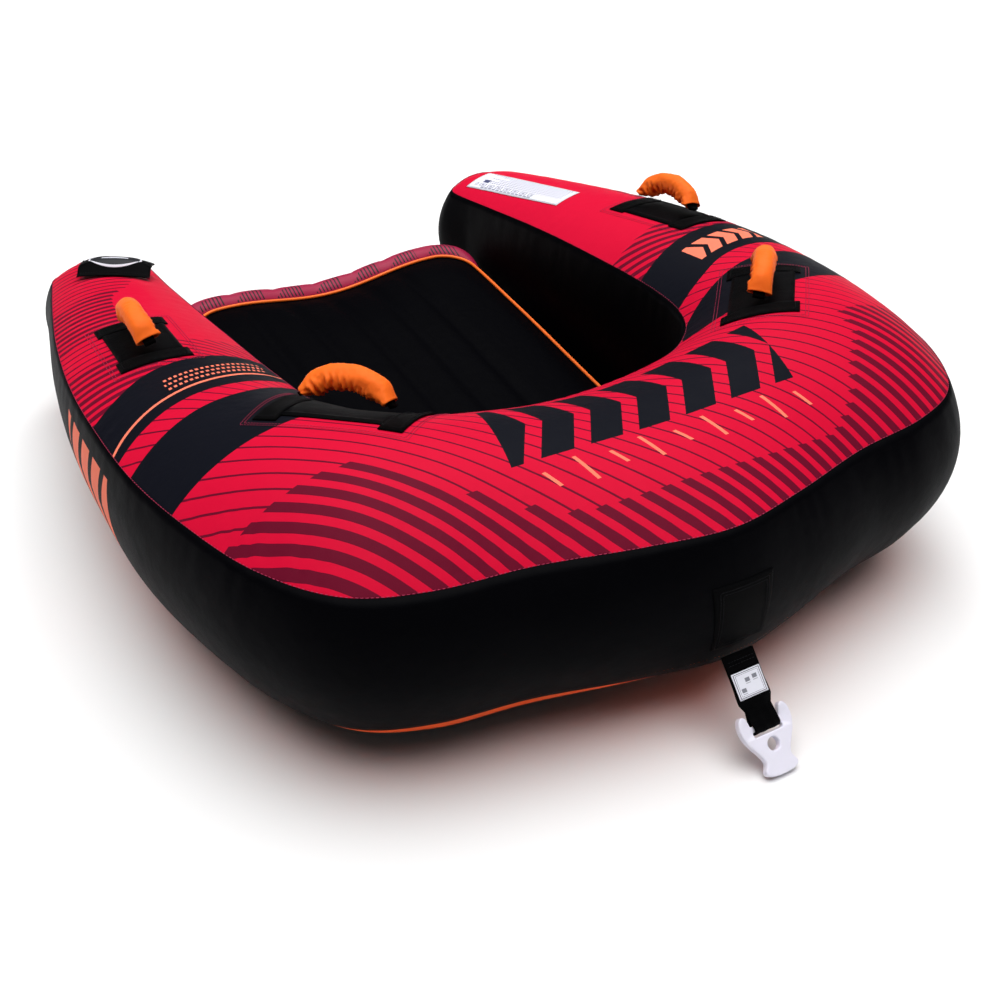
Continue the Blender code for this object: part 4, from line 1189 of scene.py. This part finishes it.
def grip_axes(name, joint):
    """The grip's pivot, its axis, the way up from the pivot to its arch, and the way across."""
    pivot = Vector(joint["pos_m"])
    along = Vector(joint["axis"]).normalized()
    verts = [v.co for v in frame["nodes"][f"grip_sleeve_{name}"].data.vertices]
    middle = sum(verts, Vector()) / len(verts)
    up = middle - pivot
    up = (up - along * up.dot(along)).normalized()
    return pivot, along, up, along.cross(up)


def grip_line(share):
    return GRIP_REACH * share, GRIP_RISE * (1.0 - abs(share) ** GRIP_POWER)


def grip_rings(axes, reach, segments, sides, shape):
    """Rings round the grip's arch. shape(share, turn) gives the radius across and the radius up."""
    pivot, along, up, across = axes
    rings = []
    for step in range(segments + 1):
        share = reach * (2.0 * step / segments - 1.0)
        a, h = grip_line(share)
        ahead = grip_line(min(1.0, share + 0.02))
        behind = grip_line(max(-1.0, share - 0.02))
        slope = Vector((ahead[0] - behind[0], ahead[1] - behind[1])).normalized()
        ring = []
        for s in range(sides):
            turn = 2.0 * math.pi * s / sides
            wide, high = shape(share, turn)
            lift = high * math.sin(turn)
            point = pivot + along * (a - slope.y * lift) + up * (h + slope.x * lift)
            ring.append(point + across * wide * math.cos(turn))
        rings.append(ring)
    return rings


def build_grip(name, joint, finishes):
    axes = grip_axes(name, joint)
    body = f"{name}_grip"
    seed = 10.0 * HANDLES.index(name)

    def sleeve_shape(share, turn):
        under = smoothstep(0.35, 0.95, 0.5 - 0.5 * math.sin(turn + 0.5 * math.sin(share * 3.0 + seed)))
        drift = noise.noise(Vector((share * 4.0, 0.7 * turn, seed)))
        folds = math.sin(share * 36.0 + 5.0 * drift + 1.5 * math.cos(turn))
        crumple = noise.noise(Vector((share * 15.0, math.cos(turn) * 2.5, math.sin(turn) * 2.5 + seed)))
        drape = noise.noise(Vector((share * 2.6, math.cos(turn) * 1.1, math.sin(turn) * 1.1 + seed)))
        end = smoothstep(0.66, 0.95, abs(share))
        radius = SLEEVE_RADIUS * (0.96 + 0.09 * drape)
        radius += (0.0030 * folds + 0.0034 * crumple) * under + 0.0007 * crumple
        return radius * (1.0 + 0.10 * end), radius * (1.0 - 0.52 * end)

    def bore_shape(share, turn):
        return tuple(radius - SLEEVE_CLOTH for radius in sleeve_shape(share, turn))

    outer = grip_rings(axes, SLEEVE_SHARE, 96, 48, sleeve_shape)
    inner = grip_rings(axes, SLEEVE_SHARE - 0.004, 96, 48, bore_shape)
    rings = outer + list(reversed(inner))
    sleeve = tube_piece(f"grip_cover_{name}", rings, finishes["orange"], body, closed_loop=True)
    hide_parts(f"grip_sleeve_{name}")

    def web_shape(share, turn):
        square = max(abs(math.cos(turn)), abs(math.sin(turn)))
        return 0.0115 / square * 0.92, 0.0036 / square

    web_rings = grip_rings(axes, 1.0, 48, 16, web_shape)
    web = tube_piece(f"grip_strap_{name}", web_rings, finishes["webbing"], body)
    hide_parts(f"grip_webbing_{name}")


# ---------------------------------------------------------------- towing point
def tow_point(across, along, out):
    joint = joint_named("tow_strap_swing")
    _, y, z = joint["pos_m"]
    return Vector((
        across,
        y - along * math.cos(TOW_ANGLE) - out * math.sin(TOW_ANGLE),
        z - along * math.sin(TOW_ANGLE) + out * math.cos(TOW_ANGLE),
    ))


def arc(centre, radius, start, stop, count):
    turns = [math.radians(start + (stop - start) * k / (count - 1)) for k in range(count)]
    return [(centre[0] + radius * math.cos(t), centre[1] + radius * math.sin(t)) for t in turns]


def build_strap(finishes):
    """One length of webbing, doubled round the connector's bar."""
    gap = 0.5 * WEB_THICKNESS + 0.0002
    ring = BAR_RADIUS + 0.0008 + 0.5 * WEB_THICKNESS
    flat_end = STRAP_LENGTH - 0.030
    line = [(flat_end * k / 14, gap) for k in range(15)]
    line += arc((STRAP_LENGTH, 0.0), ring, 118.0, -118.0, 22)
    line += [(flat_end * k / 14, -gap) for k in range(14, -1, -1)]
    count = len(line)

    def place(u, v, side):
        k = min(int(round(v * (count - 1))), count - 1)
        ahead = line[min(k + 1, count - 1)]
        behind = line[max(k - 1, 0)]
        run = Vector((ahead[0] - behind[0], ahead[1] - behind[1])).normalized()
        out = (side - 0.5) * WEB_THICKNESS * (0.45 + 0.55 * soft_edge(u, 0.5, 0.05))
        along, rise = line[k]
        flare = smoothstep(0.050, 0.080, along) * (1.0 - smoothstep(0.080, 0.094, along))
        at_bar = smoothstep(0.080, 0.095, along)
        width = STRAP_WIDTH * (1.0 + 0.05 * flare) + (STRAP_WIDTH_AT_BAR - STRAP_WIDTH) * at_bar
        bunch = 1.0 + 0.15 * smoothstep(0.105, 0.124, along)
        wave = 0.0004 * at_bar * math.sin(u * 17.0 + 1.0) + 0.0012 * flare * math.sin(u * 9.0 + along * 90.0)
        return tow_point((u - 0.5) * width, along - run.y * out * bunch + wave * 0.6,
                         rise + run.x * out * bunch + wave)

    rows = [k / (count - 1) for k in range(count)]
    columns = even_with_edges(22, 0.03)
    strap = closed_sheet("tow_strap_webbing", columns, rows, place, finishes["webbing"], "strap")
    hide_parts("tow_strap")

    def label_place(u, v, side):
        lift = WEB_THICKNESS + 0.0006 + 0.0009 * side
        return tow_point((v - 0.5) * (STRAP_WIDTH - 0.005), LABEL_FROM + (LABEL_TO - LABEL_FROM) * u, lift)

    label = closed_sheet("strap_label", even(10), even(10), label_place, strap_label_finish(), "strap")
    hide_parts("tow_strap_label")
    lines = []
    for at in (0.012, 0.018):
        lines.append([tow_point(x, at, WEB_THICKNESS + 0.0004) for x in (-0.026, 0.0, 0.026)])
    out = tow_point(0.0, 0.0, 1.0) - tow_point(0.0, 0.0, 0.0)
    stitches("strap_thread", lines, lambda p: out, finishes["black_thread"], "strap")


def build_connector():
    """The moulded clip, drawn in the strap's own axes and rounded all over."""
    right = list(CONNECTOR_OUTLINE)
    left = [(-x, q) for x, q in reversed(right)]
    throat = [(-EAR_INSIDE, -0.80 * BAR_RADIUS), (EAR_INSIDE, -0.80 * BAR_RADIUS)]
    slot = [(-EAR_INSIDE, 0.80 * BAR_RADIUS), (EAR_INSIDE, 0.80 * BAR_RADIUS),
            (EAR_INSIDE, SLOT_DEPTH), (-EAR_INSIDE, SLOT_DEPTH)]
    hole = arc((0.0, CONNECTOR_HOLE_AT), CONNECTOR_HOLE, 0.0, 352.5, 48)
    smooth_side = round_outline(right + left, throat)
    work = bmesh.new()
    for loop in (smooth_side, slot, hole):
        ring = [work.verts.new(tow_point(x, STRAP_LENGTH + q, -0.5 * CONNECTOR_THICKNESS)) for x, q in loop]
        for a, b in zip(ring, ring[1:] + ring[:1]):
            work.edges.new((a, b))
    bmesh.ops.triangle_fill(work, use_beauty=True, edges=work.edges[:])
    raised = bmesh.ops.extrude_face_region(work, geom=work.faces[:])
    shift = tow_point(0.0, 0.0, CONNECTOR_THICKNESS) - tow_point(0.0, 0.0, 0.0)
    lifted = [v for v in raised["geom"] if isinstance(v, bmesh.types.BMVert)]
    bmesh.ops.translate(work, vec=shift, verts=lifted)
    bmesh.ops.recalc_face_normals(work, faces=work.faces)
    flatten_bar(work)
    mesh = bpy.data.meshes.new("tow_connector")
    work.to_mesh(mesh)
    work.free()
    mesh.shade_smooth()
    mesh.materials.append(moulded_finish("milky_plastic", (0.78, 0.76, 0.86), 0.34, 0.45, 0.25))
    clip = bpy.data.objects.new("tow_connector", mesh)
    bpy.context.scene.collection.objects.link(clip)
    remesh = clip.modifiers.new("moulding", "REMESH")
    remesh.mode = "VOXEL"
    remesh.voxel_size = 0.0010
    remesh.use_smooth_shade = True
    rounding = clip.modifiers.new("rounding", "SMOOTH")
    rounding.factor = 0.6
    rounding.iterations = 22
    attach(clip, "connector")
    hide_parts("quick_connector")


def round_outline(outside, throat):
    """The clip's outline with its corners cut twice, so that it runs smoothly; the throat stays square."""
    points = [Vector(p) for p in outside]
    for _ in range(2):
        finer = [points[0]]
        for a, b in zip(points, points[1:]):
            finer.append(a.lerp(b, 0.25))
            finer.append(a.lerp(b, 0.75))
        finer.append(points[-1])
        points = finer
    return [tuple(p) for p in points] + throat


def flatten_bar(work):
    """Brings the bar between the ears down so that it lies inside the strap's fold."""
    bar = tow_point(0.0, STRAP_LENGTH, 0.0)
    out = (tow_point(0.0, 0.0, 1.0) - tow_point(0.0, 0.0, 0.0)).normalized()
    along = (tow_point(0.0, 1.0, 0.0) - tow_point(0.0, 0.0, 0.0)).normalized()
    for vert in work.verts:
        offset = vert.co - bar
        near_bar = abs(offset.dot(along)) < 0.81 * BAR_RADIUS
        if near_bar and abs(vert.co.x) < EAR_INSIDE + 0.0001:
            ahead = along * offset.dot(along)
            aside = out * math.copysign(0.0040, offset.dot(out))
            vert.co = Vector((vert.co.x, *(bar + ahead + aside).yz))


def build_tow_patch(surface, finishes):
    """The reinforcement on the nose that the strap is sewn to."""
    low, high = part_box("tow_patch")

    def at(x, z, lift):
        hit, _, _, _ = surface.ray_cast(Vector((x, low.y - 0.5, z)), Vector((0.0, 1.0, 0.0)))
        return hit + Vector((0.0, -1.0, 0.0)) * lift

    def place(u, v, side):
        x = (u - 0.5) * (TOW_PATCH_WIDTH - TOW_PATCH_TAPER * v)
        z = high.z + (low.z - high.z) * v
        return at(x, z, 0.0012 + 0.0038 * side * (0.35 + 0.65 * soft_edge(u, v, 0.05)))

    patch = closed_sheet("nose_patch", even_with_edges(20, 0.03), even_with_edges(20, 0.03), place,
                         finishes["webbing"], "tube")
    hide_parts("tow_patch")
    loops = []
    for inset in (0.007, 0.012):
        a = 0.5 * 0.110 - inset
        corners = [(-a, low.z + inset), (a, low.z + inset), (a, high.z - inset), (-a, high.z - inset)]
        line = []
        for (x0, z0), (x1, z1) in zip(corners, corners[1:] + corners[:1]):
            line += [at(x0 + (x1 - x0) * k / 8, z0 + (z1 - z0) * k / 8, 0.0056) for k in range(8)]
        loops.append(line + [line[0]])
    stitches("nose_patch_thread", loops, lambda p: Vector((0.0, -1.0, 0.0)), finishes["black_thread"], "tube")


# ---------------------------------------------------------------- valves and the flap
def turned_piece(name, profile, axes, material, body, sides=64, scallops=0):
    """Turns a closed profile of (radius, height) points; scallops cuts grips round the outside."""
    centre, side, ahead, out = axes
    rings = []
    for s in range(sides):
        turn = 2.0 * math.pi * s / sides
        grip = 1.0 - (0.05 * (0.5 + 0.5 * math.cos(scallops * turn)) if scallops else 0.0)
        ring = []
        for radius, height in profile:
            reach = radius * (grip if radius > 0.018 else 1.0)
            ring.append(centre + (side * math.cos(turn) + ahead * math.sin(turn)) * reach + out * height)
        rings.append(ring)
    piece = tube_piece(name, rings, material, body, closed_loop=True)
    return sharpen(piece, 45.0)


def valve_axes(centre, out):
    side = out.cross(Vector((1.0, 0.0, 0.0))).normalized()
    return centre, side.cross(out), side, out


def build_valve(prefix, joint_name, cap_body, finishes, membrane):
    """Flange, screw-in insert and cap, on the axis that the cap turns about."""
    joint = joint_named(joint_name)
    out = Vector(joint["axis"]).normalized()
    axes = valve_axes(Vector(joint["pos_m"]) - out * 0.0106, out)
    flange = [(0.0207, 0.0012), (0.0300, 0.0012), (0.0302, 0.0022), (0.0290, 0.0042), (0.0250, 0.0050),
              (0.0230, 0.0056), (0.0207, 0.0056)]
    piece = turned_piece(f"{prefix}_weld_ring", flange, axes, finishes["vinyl"], "tube")
    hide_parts(f"{prefix}_flange")
    insert = [(0.0130, 0.0020), (0.0200, 0.0020), (0.0200, 0.0052), (0.0194, 0.0058), (0.0200, 0.0064),
              (0.0194, 0.0072), (0.0200, 0.0080), (0.0196, 0.0098), (0.0136, 0.0098), (0.0130, 0.0090)]
    piece = turned_piece(f"{prefix}_screw_insert", insert, axes, finishes["black_plastic"], "tube")
    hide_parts(f"{prefix}_insert")
    if membrane:
        disc = [(0.0004, 0.0040), (0.0120, 0.0040), (0.0120, 0.0052), (0.0060, 0.0056), (0.0004, 0.0050)]
        piece = turned_piece(f"{prefix}_disc", disc, axes, finishes["vinyl"], "tube")
        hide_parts(f"{prefix}_membrane")
    cap = [(0.0004, 0.0106), (0.0215, 0.0106), (0.0228, 0.0112), (0.0230, 0.0148), (0.0216, 0.0162),
           (0.0160, 0.0165), (0.0150, 0.0156), (0.0060, 0.0156), (0.0050, 0.0163), (0.0004, 0.0164)]
    piece = turned_piece(f"{prefix}_screw_cap", cap, axes, finishes["black_plastic"], cap_body, 144, 18)
    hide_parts(f"{prefix}_cap")


def flap_spot():
    """The middle of the flap's hinge line, and the ways across it, along the flap and out of the cover."""
    hinge = joint_named("valve_flap_open")
    valve = joint_named("valve_cap_turn")
    across = Vector(hinge["axis"]).normalized()
    out = Vector(valve["axis"]).normalized()
    out = (out - across * out.dot(across)).normalized()
    return Vector(hinge["pos_m"]), across, out.cross(across), out


def build_flap(finishes):
    hinge, side, ahead, out = flap_spot()

    def flap_point(across, along, lift):
        """A point on the flap. It arches over the valve, sags behind it and has one lifted corner."""
        middle = along - 0.5 * FLAP_DEPTH
        arch = FLAP_RISE * smoothstep(-0.5 * FLAP_DEPTH, -0.1 * FLAP_DEPTH, middle)
        arch *= 1.0 - FLAP_SAG * smoothstep(0.1 * FLAP_DEPTH, 0.5 * FLAP_DEPTH, middle)
        edge = abs(across / (0.5 * FLAP_WIDTH))
        droop = arch * 0.42 * edge**3 + 0.0045 * edge**2
        tip = 0.004 * smoothstep(0.88, 1.0, edge) * smoothstep(0.65, 1.0, along / FLAP_DEPTH) * (across < 0.0)
        return hinge + side * across + ahead * along + out * (arch - droop + tip + lift)

    def place(u, v, side):
        across = (u - 0.5) * FLAP_WIDTH
        return flap_point(across, v * FLAP_DEPTH, FLAP_THICKNESS * side * (0.4 + 0.6 * soft_edge(u, v, 0.03)))

    flap = closed_sheet("valve_cover_flap", even_with_edges(48, 0.015), even_with_edges(30, 0.02), place,
                        finishes["foam"], "flap")
    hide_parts("valve_flap")

    def badge_place(u, v, side):
        a = 2.0 * u - 1.0
        half = math.sqrt(max(0.03, 1.0 - a * a))
        along = FLAP_DEPTH * 0.5 + (v - 0.5) * FLAP_OVAL[1] * half
        return flap_point(0.5 * FLAP_OVAL[0] * a, along, FLAP_THICKNESS + 0.0004 + 0.0009 * side)

    badge = closed_sheet("flap_oval_badge", even(44), even(12), badge_place, badge_finish(), "flap")
    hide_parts("valve_flap_badge")
    reach = 0.5 * (FLAP_WIDTH - 0.012)
    line = [flap_point(x * reach / 8, 0.006, FLAP_THICKNESS + 0.0003) for x in range(-8, 9)]
    stitches("flap_thread", [line], lambda p: out, finishes["black_thread"], "flap")


# ---------------------------------------------------------------- label, seams and zip


def build_label(surface, finishes):
    low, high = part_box("care_label")
    along = Vector((-math.sin(LABEL_TURN), math.cos(LABEL_TURN), 0.0))
    patch = Patch(surface, (low + high) * 0.5, along)

    def place(u, v, side):
        across = (u - 0.5) * LABEL_SIZE[0]
        return patch.at(across, (v - 0.5) * LABEL_SIZE[1], 0.0009 + 0.0009 * side)

    label = closed_sheet("printed_care_label", even(16), even(52), place, care_label_finish(), "tube")
    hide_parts("care_label")
    line = patch_loop(patch, rectangle(*LABEL_THREAD), 0.0019)
    stitches("label_thread", [line], lambda p: patch.out(), finishes["white_thread"], "tube")


def build_seam_threads(tops, columns, finishes):
    """A line of thread just inside the top cover's seam, and upright joins in the side wall."""
    outer = [line[1] for line in tops]
    inner = [line[-2] for line in tops]
    middle = Vector((0.0, 0.1, 0.1))

    def from_middle(p):
        return Vector((p.x, p.y - 0.1, 0.0))

    stitches("top_seam_thread", [outer, inner], lambda p: p - middle, finishes["thread"], "tube",
             *SEAM_STITCH)
    low = [column[-2] for column in columns]
    stitches("low_seam_thread", [low + [low[0]]], from_middle, finishes["orange"], "tube",
             *LOW_SEAM_STITCH)
    joins = []
    count = len(columns)
    for share in (0.075, 0.2, 0.3, 0.425, 0.58, 0.76, 0.90):
        column = columns[int(share * count)]
        joins.append(column[1:-1])
    stitches("wall_join_thread", joins, from_middle, finishes["black_thread"], "tube", *SEAM_STITCH)


def build_zip(finishes):
    tape_low, tape_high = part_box("zip_tape")
    middle = 0.5 * (tape_low.y + tape_high.y)
    pitch = 0.005
    count = int((tape_high.x - tape_low.x - 0.03) / pitch)
    points = []
    faces = []
    for k in range(count):
        x = tape_low.x + 0.015 + k * pitch
        y = middle + (0.0010 if k % 2 else -0.0010)
        z = tape_low.z - 0.0006
        first = len(points)
        for dx, dy, dz in ((-1, -1, -1), (1, -1, -1), (1, 1, -1), (-1, 1, -1),
                           (-1, -1, 1), (1, -1, 1), (1, 1, 1), (-1, 1, 1)):
            points.append(Vector((x + dx * 0.0012, y + dy * 0.0022, z + dz * 0.0005)))
        for face in ((0, 3, 2, 1), (4, 5, 6, 7), (0, 1, 5, 4), (1, 2, 6, 5), (2, 3, 7, 6), (3, 0, 4, 7)):
            faces.append(tuple(first + i for i in face))
    new_piece("zip_teeth", points, faces, finishes["black_plastic"], "tube", smooth=False)


def dress_frame_nodes(finishes):
    """Materials for the frame's own parts that stay as they are."""
    for name, finish in (
        ("tube_bladder", "vinyl"), ("seat_bladder", "vinyl"), ("seat_joining_web", "web_fabric"),
        ("zip_tape", "web_fabric"), ("zip_slider", "black_plastic"), ("zip_pull", "orange"),
    ):
        node = frame["nodes"][name]
        for slot in node.material_slots:
            slot.material = finishes[finish]


def shared_finishes():
    return {
        "webbing": webbing_finish("black_webbing_weave", (0.0005, 0.0005, 0.0008)),
        "foam": plain_fabric("black_foam_facing", (0.0005, 0.0005, 0.0009), 0.55, 0.0014, 0.00012, 0.03,
                             0.0007, 0.001),
        "orange": plain_fabric("orange_grip_nylon", ORANGE, 0.58, 0.0013, 0.00006, 0.12, 0.0010, 0.02),
        "thread": plain_fabric("pink_thread", THREAD, 0.6, 0.0008, 0.00003),
        "black_thread": plain_fabric("black_thread", (0.006, 0.006, 0.008), 0.6, 0.0008, 0.00003),
        "white_thread": plain_fabric("white_thread", (0.60, 0.60, 0.64), 0.6, 0.0008, 0.00003),
        "vinyl": moulded_finish("grey_vinyl_film", (0.20, 0.20, 0.21), 0.35),
        "black_plastic": moulded_finish("black_moulded_plastic", (0.015, 0.015, 0.017), 0.40),
        "web_fabric": plain_fabric("black_web_nylon", BLACK, 0.6, 0.0016, 0.00006, 0.12),
    }


def main():
    make_camera()
    make_studio()
    finishes = shared_finishes()
    tops, walls = build_ring()
    surface = surface_tree((tops, False), (walls, True))
    build_piping(build_seat())
    for name in HANDLES:
        build_handle(name, surface, finishes)
    build_strap(finishes)
    build_connector()
    build_tow_patch(surface, finishes)
    build_valve("valve", "valve_cap_turn", "main_valve_cap", finishes, True)
    build_valve("seat_valve", "seat_valve_cap_turn", "seat_cap", finishes, False)
    build_flap(finishes)
    build_label(surface, finishes)
    build_seam_threads(tops, walls, finishes)
    build_zip(finishes)
    dress_frame_nodes(finishes)


main()
